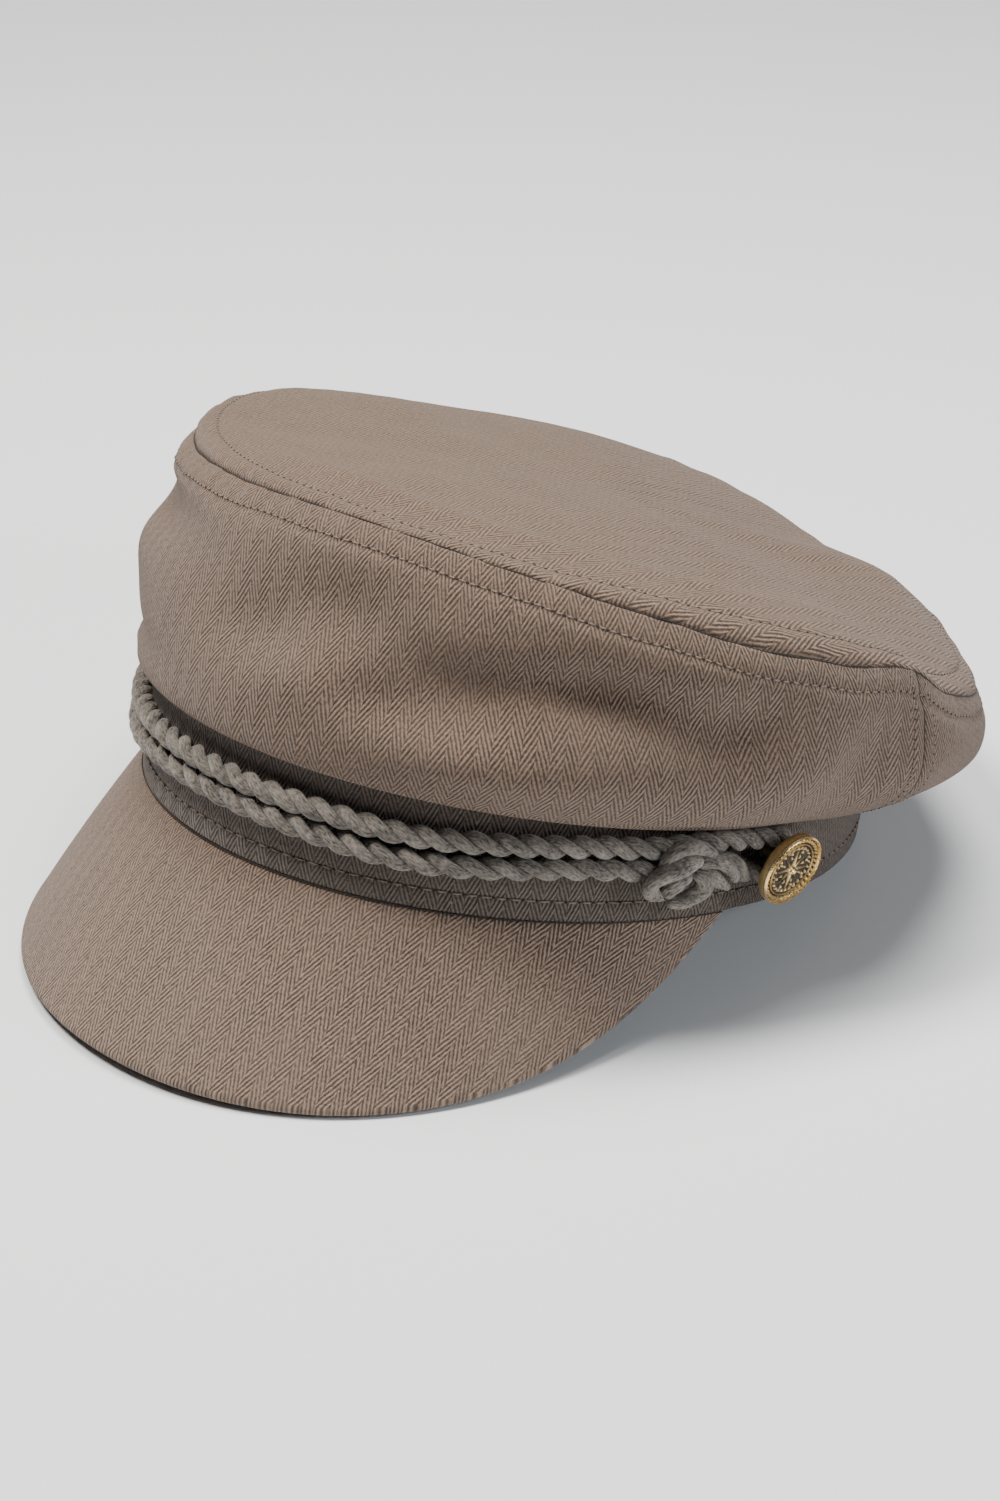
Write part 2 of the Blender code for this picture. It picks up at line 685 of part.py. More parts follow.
def rest_on_table(carrier, peak_piece, band_piece, guides):
    """Tilt the cap to its rest and flatten what touches the table."""
    bpy.context.view_layer.update()
    peak_points = level_points(peak_piece)
    band_points = level_points(band_piece)
    pitch = resting_pitch(peak_points, band_points)
    carrier.rotation_euler.x = -pitch
    carrier.location.z = -lowest(band_points, pitch) - PRESS
    span = BAND_LENGTH + PEAK_REACH
    bpy.ops.mesh.primitive_cube_add(size=1.0, location=(0.0, 0.0, -span / 2))
    table = bpy.context.object
    table.name = "table"
    table.scale = (2 * span, 2 * span, span)
    table.hide_render = True
    table.display_type = "WIRE"
    for holder in list(table.users_collection):
        holder.objects.unlink(table)
    guides.objects.link(table)
    cut_with(peak_piece, table)
    cut_with(band_piece, table)


def centre_over_origin(carrier, collection):
    """Move the cap so that its box is centred over the origin."""
    bpy.context.view_layer.update()
    graph = bpy.context.evaluated_depsgraph_get()
    corners = []
    for thing in collection.objects:
        if thing.type == "EMPTY":
            continue
        ready = thing.evaluated_get(graph)
        mesh = ready.to_mesh()
        corners += [thing.matrix_world @ spot.co for spot in mesh.vertices]
        ready.to_mesh_clear()
    for axis in (0, 1):
        middle = (min(c[axis] for c in corners) + max(c[axis] for c in corners)) / 2
        carrier.location[axis] -= middle


def main():
    clear_scene()
    cap = new_collection("fisherman_cap")
    guides = new_collection("cutters")
    crown_cloth = make_material("crown_cloth", (0.235, 0.185, 0.150), 0.88)
    band_cloth = make_material("band_cloth", (0.225, 0.178, 0.145), 0.88)
    peak_cloth = make_material("peak_cloth", (0.270, 0.205, 0.165), 0.86)
    cord_yarn = make_material("cord_yarn", (0.165, 0.155, 0.145), 0.95)
    button_metal = make_material("button_metal", (0.560, 0.400, 0.160), 0.38, 1.0)
    carrier = bpy.data.objects.new("cap_at_rest", None)
    cap.objects.link(carrier)
    band_piece = band(band_cloth, cap, carrier)
    peak_piece = peak(peak_cloth, cap, carrier)
    crown_top(crown_cloth, cap, carrier)
    side_panel("crown_front", -SIDE_SEAM_DEG, SIDE_SEAM_DEG, crown_cloth, cap, carrier)
    side_panel("crown_back", SIDE_SEAM_DEG, 360 - SIDE_SEAM_DEG, crown_cloth, cap, carrier)
    section = cord_section(guides)
    cord("upper", CORD_UPPER_HEIGHT, CORD_UPPER_PITCH, section, cord_yarn, cap, carrier)
    cord("lower", CORD_LOWER_HEIGHT, CORD_LOWER_PITCH, section, cord_yarn, cap, carrier)
    for word, side in (("left", 1), ("right", -1)):
        knot(f"knot_{word}", side, cord_yarn, cap, guides, carrier)
        button(f"button_{word}", side, button_metal, cap, guides, carrier)
    rest_on_table(carrier, peak_piece, band_piece, guides)
    centre_over_origin(carrier, cap)


main()
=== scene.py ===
# %% [markdown]
# # A fisherman cap
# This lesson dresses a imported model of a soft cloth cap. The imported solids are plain, and they stay
# where they are. Around them we make the cloth, the seams and stitches, the twisted cords with
# their knots, and two metal buttons. Every size is in metres. The wearer faces -Y and the wearer's
# left is +X.

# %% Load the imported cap
import math

import bmesh
import bpy
import numpy as np
from mathutils import Matrix, Vector, noise


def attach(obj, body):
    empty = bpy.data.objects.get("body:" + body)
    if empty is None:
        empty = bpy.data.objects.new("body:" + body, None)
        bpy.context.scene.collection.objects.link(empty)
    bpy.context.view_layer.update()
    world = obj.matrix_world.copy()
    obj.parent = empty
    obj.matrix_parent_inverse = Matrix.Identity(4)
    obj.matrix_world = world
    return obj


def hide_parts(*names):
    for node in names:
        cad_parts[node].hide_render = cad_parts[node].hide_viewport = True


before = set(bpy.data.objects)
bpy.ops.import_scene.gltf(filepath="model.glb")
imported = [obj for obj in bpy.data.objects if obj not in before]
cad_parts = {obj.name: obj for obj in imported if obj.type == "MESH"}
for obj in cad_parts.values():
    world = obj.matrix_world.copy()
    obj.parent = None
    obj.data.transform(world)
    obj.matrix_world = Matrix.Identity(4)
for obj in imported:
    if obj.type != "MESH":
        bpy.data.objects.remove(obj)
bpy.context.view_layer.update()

# %% [markdown]
# ## The sizes
# The cloth has to lie where the solids are, so it follows the same named sizes as they do. Its
# shoulders and folds are fuller than the solids', and there are more of them. Most of the cloth
# stays within 4 mm of the solids, and the deepest fold lies 6 mm from them. A size that only the
# dressed cap needs, such as the depth of a seam, comes later, with its piece.

# %% Sizes shared with the solids
BAND_LENGTH = 0.2024
BAND_WIDTH = 0.1716
BAND_HEIGHT = 0.0320
BAND_WALL = 0.0024
CLOTH = 0.0016
TOP_LENGTH = 0.2048
TOP_WIDTH = 0.2172
TOP_BACK = 0.0138
SEAM_HEIGHT = 0.0688
SEAM_RISE = 0.0157
TOP_DOME = 0.0104
SHOULDER_WIDE = 0.0110
SIDE_PUFF = 0.0070
OVERHANG = 0.0049
ROLL_DROP_FRONT = 0.0030
ROLL_DROP_BACK = 0.0168
SIDE_SEAM_DEG = 90.0
SIDE_SEAM_LEAN_DEG = 14.0
PEAK_REACH = 0.0566
PEAK_WALL = 0.0030
PEAK_HALF_DEG = 82.8
PEAK_SLOPE_DEG = 56.9
PEAK_END_SLOPE_DEG = 82.0
PEAK_TIP = 0.0020
PEAK_ROUNDNESS = 2.35
PEAK_STEEPENING = 2.4
CORD_THICK = 0.0052
CORD_UPPER_HEIGHT = 0.0198
CORD_LOWER_HEIGHT = 0.0142
BUTTON_DIAMETER = 0.0190
BUTTON_DEPTH = 0.0032
BUTTON_DEG = 88.7
BUTTON_HEIGHT = 0.0136
BUTTON_NOD_DEG = 11.0
BUTTON_SHANK = 0.0036
GAP = 0.0003

# %% Waves, pulls and folds
def table(columns, *rows):
    """The rows of a table, each value under the name of its column."""
    return [dict(zip(columns.split(), row)) for row in rows]


SEAM_WAVES = table(
    "waves cosine sine",
    (1, 1.00, -0.32),
    (2, 0.02, 0.36),
    (3, 0.01, -0.06),
)
SEAM_PULLS = table(
    "deg wide_deg rise in",
    (14, 30, 0.10, 0.000),
    (72, 34, 0.07, 0.000),
    (132, 14, 0.00, 0.003),
    (150, 34, 0.16, 0.006),
    (-46, 26, 0.14, 0.014),
    (-88, 30, 0.09, 0.000),
)
SHOULDERS = table(
    "deg lift drop",
    (-165, 0.0014, 0.0025),
    (-115, -0.0013, 0.0040),
    (-75, 0.0030, 0.0066),
    (-38, 0.0004, 0.0045),
    (-15, 0.0006, 0.0030),
    (0, 0.0008, 0.0020),
    (14, -0.0003, 0.0004),
    (30, 0.0000, 0.0012),
    (50, 0.0010, 0.0032),
    (63, 0.0018, 0.0050),
    (75, 0.0028, 0.0045),
    (88, 0.0024, 0.0010),
    (101, -0.0012, 0.0018),
    (115, -0.0010, 0.0028),
    (135, -0.0008, 0.0030),
    (150, 0.0013, 0.0030),
    (171, -0.0014, 0.0025),
)
SIDE_FOLDS = table(
    "deg climb wide_deg tall depth",
    (14, 0.66, 9, 0.13, -0.46),
    (1, 0.48, 9, 0.15, -0.46),
    (12, 0.36, 8, 0.12, 0.34),
    (22, 0.36, 8, 0.11, -0.40),
    (26, 0.70, 10, 0.12, 0.26),
    (33, 0.50, 9, 0.15, -0.78),
    (47, 0.62, 9, 0.12, -0.78),
    (37, 0.22, 12, 0.14, 0.26),
    (56, 0.58, 10, 0.16, -0.46),
    (40, 0.24, 18, 0.14, 0.22),
    (67, 0.60, 7, 0.24, -0.48),
    (78, 0.44, 8, 0.24, 0.12),
    (87, 0.52, 5, 0.26, -0.34),
    (99, 0.58, 8, 0.36, 0.36),
    (-40, 0.94, 16, 0.07, 0.30),
    (-38, 0.74, 14, 0.11, -0.56),
    (-40, 0.52, 18, 0.17, 0.44),
    (-42, 0.14, 20, 0.09, -0.36),
    (126, 0.34, 20, 0.26, 0.26),
    (148, 0.58, 12, 0.28, -0.34),
    (-78, 0.60, 18, 0.24, -0.34),
    (-140, 0.55, 16, 0.28, -0.30),
)
TOP_FOLDS = table(
    "deg reach wide_deg long height",
    (8, 0.83, 36, 0.055, 0.20),
    (58, 0.80, 15, 0.050, 0.15),
    (84, 0.80, 12, 0.060, 0.14),
    (25, 0.60, 30, 0.16, 0.10),
    (66, 0.62, 26, 0.20, -0.20),
    (142, 0.82, 30, 0.24, 0.50),
    (-60, 0.60, 30, 0.22, -0.16),
)

# %% [markdown]
# ## From the level cap to the resting cap
# It is easiest to draw a cap that stands level, with the lower edge of its band at height 0. The
# real one rests on its peak and on the back of its band, so it is pitched. We read that pitch from
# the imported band: its highest point is the front of its top edge, and its rearmost point is the
# back of the same edge. The line between them is level in the level cap.

# %% Find how the cap rests
band_points = [spot.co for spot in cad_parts["band"].data.vertices]
front_top = max(band_points, key=lambda point: point.z)
back_top = max(band_points, key=lambda point: point.y)
pitch = math.atan2(front_top.z - back_top.z, back_top.y - front_top.y)
tilt = Matrix.Rotation(-pitch, 4, "X")
level_front_top = Vector((0.0, -BAND_LENGTH / 2, BAND_HEIGHT))
AT_REST = Matrix.Translation(front_top - tilt @ level_front_top) @ tilt
print(f"pitch {math.degrees(pitch):.2f} degrees")

# %% Places on the band's oval
def bump(value, centre, half_width):
    return math.exp(-((value - centre) / half_width) ** 2)


def turned_away(degrees, centre):
    """Degrees between two places round the head, by the short way."""
    return abs((degrees - centre + 180.0) % 360.0 - 180.0)


def outward(angle):
    """Level direction straight out of the band. Angle 0 is the front, and 90 degrees is +X."""
    across = math.sin(angle) / BAND_WIDTH
    along = -math.cos(angle) / BAND_LENGTH
    return Vector((across, along, 0.0)).normalized()


def on_band(angle, height=0.0, out=0.0):
    oval = Vector((BAND_WIDTH / 2 * math.sin(angle), -BAND_LENGTH / 2 * math.cos(angle), height))
    return oval + outward(angle) * out


def band_step(angle):
    """Length of band that one radian covers here."""
    return math.hypot(BAND_WIDTH / 2 * math.cos(angle), BAND_LENGTH / 2 * math.sin(angle))


# %% The crown's smooth form, as the solids have it
PUFF_FRONT = 0.46
PUFF_LEFT = 0.32
PUFF_LOW = 0.56
FOLD_FADE = 6.0


def roll_height(angle):
    """Height of the crown's rolled lower edge, which droops towards the back."""
    middle = (ROLL_DROP_FRONT + ROLL_DROP_BACK) / 2
    swing = (ROLL_DROP_BACK - ROLL_DROP_FRONT) / 2
    return BAND_HEIGHT - middle + swing * math.cos(angle)


def at_shoulder(angle, word):
    """Lift or drop of the shoulder here, eased from row to row of its table."""
    place = math.degrees(angle) % 360.0
    rows = sorted(SHOULDERS, key=lambda row: row["deg"] % 360.0)
    after = next((row for row in rows if row["deg"] % 360.0 > place), rows[0])
    before = rows[rows.index(after) - 1]
    span = (after["deg"] - before["deg"]) % 360.0
    part = ((place - before["deg"]) % 360.0) / span
    ease = 0.5 - 0.5 * math.cos(math.pi * part)
    return before[word] + (after[word] - before[word]) * ease


def seam_point(angle):
    """The top seam. It lies below the soft shoulder that the top panel makes beside it."""
    height = SEAM_HEIGHT + at_shoulder(angle, "lift") - at_shoulder(angle, "drop")
    for row in SEAM_WAVES:
        turn = row["waves"] * angle
        height += SEAM_RISE * (row["cosine"] * math.cos(turn) + row["sine"] * math.sin(turn))
    drawn_in = 0.0
    for row in SEAM_PULLS:
        pull = bump(turned_away(math.degrees(angle), row["deg"]), 0.0, row["wide_deg"])
        height += SEAM_RISE * row["rise"] * pull
        drawn_in += TOP_WIDTH * row["in"] * pull
    across = (TOP_WIDTH / 2 - drawn_in) * math.sin(angle)
    along = TOP_BACK - (TOP_LENGTH / 2 - drawn_in) * math.cos(angle)
    return Vector((across, along, height))


def side_belly(angle, climb):
    """How far the side stands out from the straight line between roll and seam."""
    puff = SIDE_PUFF * (1.0 - PUFF_FRONT * math.cos(angle) + PUFF_LEFT * math.sin(angle))
    belly = 4.0 * climb * (1.0 - climb) * (1.0 + PUFF_LOW * (1.0 - 2.0 * climb))
    folds = 0.0
    for row in SIDE_FOLDS:
        away = turned_away(math.degrees(angle), row["deg"])
        place = bump(away, 0.0, row["wide_deg"]) * bump(climb, row["climb"], row["tall"])
        folds += row["depth"] * place * min(1.0, FOLD_FADE * (1.0 - climb), FOLD_FADE * climb)
    return puff * belly + SIDE_PUFF * folds


def side_angle(column, climb):
    """The side's columns lean back towards the roll, as the side seams do."""
    return column + math.radians(SIDE_SEAM_LEAN_DEG) * math.sin(column) * (1.0 - climb)


def side_point(column, climb):
    angle = side_angle(column, climb)
    foot = on_band(angle, roll_height(angle), OVERHANG)
    line = foot.lerp(seam_point(angle), climb)
    return line + outward(angle) * side_belly(angle, climb)


def top_point(angle, reach):
    drop = at_shoulder(angle, "drop")
    rim = seam_point(angle)
    shoulder = Vector((rim.x, rim.y, rim.z + drop))
    centre = Vector((0.0, TOP_BACK, SEAM_HEIGHT))
    point = centre.lerp(shoulder, reach)
    point.z += TOP_DOME * (1.0 - reach ** 2)
    inside = min(1.0, (1.0 - reach) * (TOP_WIDTH + TOP_LENGTH) / 4 / SHOULDER_WIDE)
    point.z -= drop * (1.0 - math.sqrt(1.0 - (1.0 - inside) ** 2))
    for row in TOP_FOLDS:
        away = turned_away(math.degrees(angle), row["deg"])
        place = bump(away, 0.0, row["wide_deg"]) * bump(reach, row["reach"], row["long"])
        point.z += TOP_DOME * row["height"] * place * min(1.0, FOLD_FADE * (1.0 - reach))
    return point


# %% [markdown]
# ## The cloth
# The cloth is a herringbone twill. Its threads step sideways from row to row, which draws slanted
# ribs, and every few millimetres the slant turns round. A picture of cloth would blur close up, so
# the pattern is worked out from each piece's own UV map, which holds real metres. One node group
# makes the ribs, and each cloth uses it with its own values.

# %% Helpers for node trees
def add_node(tree, kind, links=(), **settings):
    """A node with its settings, and with sockets or values put into its inputs."""
    node = tree.nodes.new(kind)
    for name, value in settings.items():
        setattr(node, name, value)
    for place, value in dict(links).items():
        if isinstance(value, bpy.types.NodeSocket):
            tree.links.new(value, node.inputs[place])
        else:
            node.inputs[place].default_value = value
    return node


def calc(tree, operation, *values):
    """A Math node, whose values are numbers or sockets."""
    return add_node(tree, "ShaderNodeMath", enumerate(values), operation=operation).outputs[0]


def blend_colour(tree, factor, first, second):
    node = tree.nodes.new("ShaderNodeMix")
    node.data_type = "RGBA"
    for name, value in (("Factor_Float", factor), ("A_Color", first), ("B_Color", second)):
        socket = next(entry for entry in node.inputs if entry.identifier == name)
        if isinstance(value, tuple):
            socket.default_value = (*value, 1.0)
        elif isinstance(value, float):
            socket.default_value = value
        else:
            tree.links.new(value, socket)
    return next(entry for entry in node.outputs if entry.identifier == "Result_Color")


def cloud(tree, place, scale, detail=2.0):
    """Soft noise from 0 to 1."""
    node = add_node(tree, "ShaderNodeTexNoise", {"Vector": place, "Scale": scale, "Detail": detail})
    return node.outputs["Fac"]


def stretched(tree, place, scale):
    """The place, scaled by its own amount along each axis."""
    return add_node(tree, "ShaderNodeMapping", {"Vector": place, "Scale": scale}).outputs["Vector"]


# %% The herringbone node group
LEG = 0.0031
RIB_ACROSS = 0.00104
RIB_ALONG = 0.00250


def make_herringbone():
    group = bpy.data.node_groups.new("herringbone", "ShaderNodeTree")
    face = group.interface
    face.new_socket("Place", in_out="INPUT", socket_type="NodeSocketVector")
    for name, size in (("Leg", LEG), ("Rib across", RIB_ACROSS), ("Rib along", RIB_ALONG)):
        face.new_socket(name, in_out="INPUT", socket_type="NodeSocketFloat").default_value = size
    for name in ("Rib", "Slub", "Grain"):
        face.new_socket(name, in_out="OUTPUT", socket_type="NodeSocketFloat")
    given = group.nodes.new("NodeGroupInput").outputs
    result = group.nodes.new("NodeGroupOutput").inputs
    parts = add_node(group, "ShaderNodeSeparateXYZ", {0: given["Place"]})
    across, along = parts.outputs["X"], parts.outputs["Y"]
    legs = calc(group, "DIVIDE", across, given["Leg"])
    odd = calc(group, "FLOORED_MODULO", calc(group, "FLOOR", legs), 2.0)
    slant = calc(group, "DIVIDE", given["Leg"], given["Rib across"])
    zigzag = calc(group, "MULTIPLY", calc(group, "PINGPONG", legs, 1.0), slant)
    phase = calc(group, "ADD", calc(group, "DIVIDE", along, given["Rib along"]), zigzag)
    phase = calc(group, "ADD", phase, calc(group, "MULTIPLY", odd, 0.5))
    waver = calc(group, "MULTIPLY", cloud(group, given["Place"], 700.0), 0.30)
    ridge = calc(group, "PINGPONG", calc(group, "ADD", phase, waver), 0.5)
    group.links.new(calc(group, "MULTIPLY", ridge, 2.0), result["Rib"])
    slub = cloud(group, stretched(group, given["Place"], (2600.0, 420.0, 1.0)), 1.0, 3.0)
    group.links.new(slub, result["Slub"])
    group.links.new(cloud(group, given["Place"], 1500.0, 2.0), result["Grain"])
    return group


HERRINGBONE = make_herringbone()
print("herringbone nodes:", len(HERRINGBONE.nodes))

# %% [markdown]
# The same cloth has a copy for each piece. The stiffened peak's copy is lighter, as painted light,
# and the band's copy is darker, as painted shade under the crown's roll. Worn cotton is never one
# even colour, so a slow noise shifts the tone, and the threads themselves differ a little.

# %% Cloth materials
RIB_SHOWS = 1.25
SLUB_SHOWS = 1.3
GRAIN_SHOWS = 1.7
GRAIN_RISES = 0.9
GROOVE_SHADE_SHARE = 0.12
WORN = (0.72, 0.76, 0.80)
WEAR_SCALE = 46.0
WEAR_SHOWS = 0.50
CLOTH_RELIEF = 0.00036


def start_material(name, roughness):
    material = bpy.data.materials.new(name)
    material.use_nodes = True
    shader = material.node_tree.nodes["Principled BSDF"]
    shader.inputs["Roughness"].default_value = roughness
    return material, material.node_tree, shader


def add_bump(tree, shader, height, distance):
    node = add_node(tree, "ShaderNodeBump", {"Height": height, "Distance": distance})
    tree.links.new(node.outputs["Normal"], shader.inputs["Normal"])


def soften(shader, gloss, sheen, sheen_roughness):
    """The dull gloss and the faint sheen of soft fibres."""
    shader.inputs["Specular IOR Level"].default_value = gloss
    shader.inputs["Sheen Weight"].default_value = sheen
    shader.inputs["Sheen Roughness"].default_value = sheen_roughness


def cloth_material(name, thread, hollow):
    material, tree, shader = start_material(name, 0.94)
    soften(shader, 0.25, 0.12, 0.6)
    own = add_node(tree, "ShaderNodeUVMap", uv_map="cloth")
    weave = add_node(tree, "ShaderNodeGroup", node_tree=HERRINGBONE)
    tree.links.new(own.outputs["UV"], weave.inputs["Place"])
    spot = tree.nodes.new("ShaderNodeTexCoord").outputs["Object"]
    rib, slub, grain = (weave.outputs[word] for word in ("Rib", "Slub", "Grain"))
    shown = calc(tree, "MULTIPLY", rib, RIB_SHOWS)
    for noise_value, strength in ((slub, SLUB_SHOWS), (grain, GRAIN_SHOWS)):
        centred = calc(tree, "SUBTRACT", noise_value, 0.5)
        shown = calc(tree, "ADD", shown, calc(tree, "MULTIPLY", centred, strength))
    # Low in the ribs the colour turns to the near-black hollow colour: painted shade in the twill's
    # grooves.
    colour = blend_colour(tree, calc(tree, "SUBTRACT", shown, GROOVE_SHADE_SHARE), hollow, thread)
    worn = tuple(share * part for share, part in zip(WORN, thread))
    uneven = calc(tree, "MULTIPLY", cloud(tree, spot, WEAR_SCALE, 3.0), WEAR_SHOWS)
    colour = blend_colour(tree, uneven, colour, worn)
    tree.links.new(colour, shader.inputs["Base Color"])
    height = calc(tree, "ADD", rib, calc(tree, "MULTIPLY", grain, GRAIN_RISES))
    add_bump(tree, shader, height, CLOTH_RELIEF)
    return material


# Each second colour is near black: painted shade for the grooves between the ribs of the real herringbone.
crown_cloth = cloth_material("crown_cloth", (0.252, 0.168, 0.118), (0.011, 0.008, 0.006))
# Darker copy of the same cloth: painted shade for the band under the crown's roll.
band_cloth = cloth_material("band_cloth", (0.150, 0.113, 0.091), (0.007, 0.005, 0.004))
# Lighter copy of the same cloth: painted light for the peak.
peak_cloth = cloth_material("peak_cloth", (0.324, 0.223, 0.163), (0.015, 0.011, 0.008))

# %% [markdown]
# ## Making a cloth piece
# Each piece is a grid of points with a UV for each, laid through the level cap and then put at
# rest. Solidify gives the crown's panels their thickness, and the band and the peak are drawn as
# closed walls. What would reach below the floor is pressed flat on it.

# %% Helpers for cloth pieces
def sheet_mesh(name, rows, marks, closed_ends=False):
    """Mesh through rows of level points. The marks are the same points on the flat cloth."""
    build = bmesh.new()
    layer = build.loops.layers.uv.new("cloth")
    grid = [[build.verts.new(AT_REST @ point) for point in row] for row in rows]
    for low in range(len(rows) - 1):
        for left in range(len(rows[0]) - 1):
            corners = ((low, left), (low, left + 1), (low + 1, left + 1), (low + 1, left))
            face = build.faces.new([grid[row][column] for row, column in corners])
            for loop, (row, column) in zip(face.loops, corners):
                loop[layer].uv = marks[row][column]
    if closed_ends:
        build.faces.new([row[0] for row in grid[:-1]])
        build.faces.new([row[-1] for row in reversed(grid[:-1])])
    bmesh.ops.remove_doubles(build, verts=build.verts, dist=1e-6)
    for face in build.faces:
        face.smooth = True
    mesh = bpy.data.meshes.new(name)
    build.to_mesh(mesh)
    build.free()
    return mesh


def add_piece(name, mesh, *materials):
    thing = bpy.data.objects.new(name, mesh)
    bpy.context.scene.collection.objects.link(thing)
    for material in materials:
        mesh.materials.append(material)
    return thing


def made_plain(thing):
    """Turn what the modifiers make into the piece's own mesh, and press it flat on the floor."""
    graph = bpy.context.evaluated_depsgraph_get()
    mesh = bpy.data.meshes.new_from_object(
        thing.evaluated_get(graph), preserve_all_data_layers=True, depsgraph=graph)
    thing.modifiers.clear()
    thing.data = mesh
    for spot in mesh.vertices:
        spot.co.z = max(0.0, spot.co.z)
    mesh.update()
    return thing


def add_wall(thing, thickness):
    wall = thing.modifiers.new("wall", "SOLIDIFY")
    wall.thickness = thickness
    wall.offset = -1.0
    wall.use_even_offset = True


def dress(thing, slot, *nodes):
    """Let the piece move with the cap, and stand for these solids."""
    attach(thing, "root")
    if nodes:
        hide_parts(*nodes)
    faces = sum(len(face.vertices) - 2 for face in thing.data.polygons)
    print(f"{thing.name}: {faces} triangles")


# %% [markdown]
# ## Seams
# Two panels meet in a narrow groove, because the thread pulls both of them in. A line of
# topstitching runs beside the seam on each panel and presses a shallow line of its own, and the
# cloth between the two puckers a little. All of this is less than a millimetre deep, but it is what
# tells a sewn cap from a moulded one. Below the top seam the side also stands out in a soft shelf,
# a few millimetres deep.

# %% How a seam shapes the cloth beside it
SEAM_DIP = 0.0005
SEAM_DIP_WIDE = 0.0005
SEAM_BULGE = 0.0004
SEAM_BULGE_AWAY = 0.0028
STITCH_AWAY = 0.0060
STITCH_PRESS = 0.00035
STITCH_PRESS_WIDE = 0.0009
PUCKER = 0.00065
PUCKER_LONG = 0.0075
SIDE_STITCH_AWAY = 0.0036
SIDE_PUCKER_SCALE = 1.3
UPRIGHT_PUCKER_SCALE = 0.8
UPRIGHT_SHARE = 0.6
SOFTNESS = {"top": (0.022, 0.0005), "side": (0.020, 0.0006), "band": (0.018, 0.0003),
            "peak": (0.030, 0.0003)}
SOFT_FROM_SEAM = 0.012
SHELF_OUT = 0.0036
SHELF_ROUND = 0.0062
SHELF_LONG = 0.0145


def sewn_in(distance, point, stitch_away):
    """How far the cloth is drawn in at this distance from a seam."""
    press = STITCH_PRESS * bump(distance, stitch_away, STITCH_PRESS_WIDE)
    ripple = noise.noise(point / PUCKER_LONG)
    bulge = SEAM_BULGE * bump(distance, SEAM_BULGE_AWAY, SEAM_BULGE_AWAY / 2)
    return press - bulge - PUCKER * ripple * bump(distance, stitch_away / 2, stitch_away * 0.8)


def softness(point, word):
    """Slow unevenness of soft cloth."""
    size, depth = SOFTNESS[word]
    return depth * noise.noise(point / size)


# %% The crown's cloth surface, with its seams
SIDE_ROUND = (TOP_WIDTH + TOP_LENGTH) / 4
INWARD = 0.75
DOWNWARD = 0.66


def into_seam(angle):
    return -outward(angle) * INWARD - Vector((0.0, 0.0, DOWNWARD))


def top_cloth(angle, reach):
    point = top_point(angle, reach)
    distance = (1.0 - reach) * SIDE_ROUND
    drawn = sewn_in(distance, seam_point(angle), STITCH_AWAY)
    drawn -= softness(point, "top") * min(1.0, distance / SOFT_FROM_SEAM)
    point.z -= drawn
    return point + into_seam(angle) * SEAM_DIP * bump(distance, 0.0, SEAM_DIP_WIDE)


def side_cloth(column, climb):
    angle = side_angle(column, climb)
    point = side_point(column, climb)
    distance = (point - seam_point(angle)).length
    drawn = sewn_in(distance, seam_point(angle) * SIDE_PUCKER_SCALE, STITCH_AWAY)
    to_side_seam = abs(abs(math.degrees(column)) - SIDE_SEAM_DEG)
    if column > math.pi:
        to_side_seam = abs(360.0 - math.degrees(column) - SIDE_SEAM_DEG)
    beside = math.radians(to_side_seam) * SIDE_ROUND
    drawn += sewn_in(beside, point * UPRIGHT_PUCKER_SCALE, SIDE_STITCH_AWAY) * UPRIGHT_SHARE
    drawn += SEAM_DIP * UPRIGHT_SHARE * bump(beside, 0.0, SEAM_DIP_WIDE)
    drawn -= softness(point, "side") * min(1.0, distance / SOFT_FROM_SEAM)
    shelf = SHELF_OUT * (1.0 - bump(distance, 0.0, SHELF_ROUND)) * bump(distance, 0.0, SHELF_LONG)
    point += outward(angle) * (shelf - drawn)
    return point + into_seam(angle) * SEAM_DIP * bump(distance, 0.0, SEAM_DIP_WIDE)


# %% [markdown]
# ### The top panel
# It is an oval, domed a little, in one piece of cloth. Its points lie on ovals that shrink towards
# the middle, close together near the seam, where the shape is fine, and further apart inside.

# %% Make the top panel
TOP_COLUMNS = 440
FINE_STEPS_MM = [0, 0.3, 0.6, 0.9, 1.3, 1.8, 2.4, 3.1, 3.8, 4.5, 5.0, 5.4, 5.8, 6.2, 6.6, 7.0, 7.5,
                 8.2, 9.2, 10.5, 12, 14, 16.5, 19.5, 23, 27, 31, 36, 41, 47, 53, 60, 68, 77, 88]


def make_top():
    reaches = [1.0 - step / 1000 / SIDE_ROUND for step in FINE_STEPS_MM] + [0.0]
    angles = [2 * math.pi * step / TOP_COLUMNS for step in range(TOP_COLUMNS + 1)]
    rows = [[top_cloth(angle, reach) for angle in angles] for reach in reaches]
    marks = [[(0.0, TOP_BACK)] * len(angles)]
    smooth = [[top_point(angle, reach) for angle in angles] for reach in reaches]
    for outer, inner in zip(reversed(smooth[:-1]), reversed(smooth[1:])):
        row = []
        for spot, near, mark in zip(outer, inner, marks[0]):
            away = Vector((spot.x, spot.y - TOP_BACK)).normalized() * (spot - near).length
            row.append((mark[0] + away.x, mark[1] + away.y))
        marks.insert(0, row)
    thing = add_piece("crown_top_cloth", sheet_mesh("crown_top_cloth", rows, marks), crown_cloth)
    add_wall(thing, CLOTH)
    return made_plain(thing)


top_piece = make_top()
dress(top_piece, "crown_cloth", "crown_top")

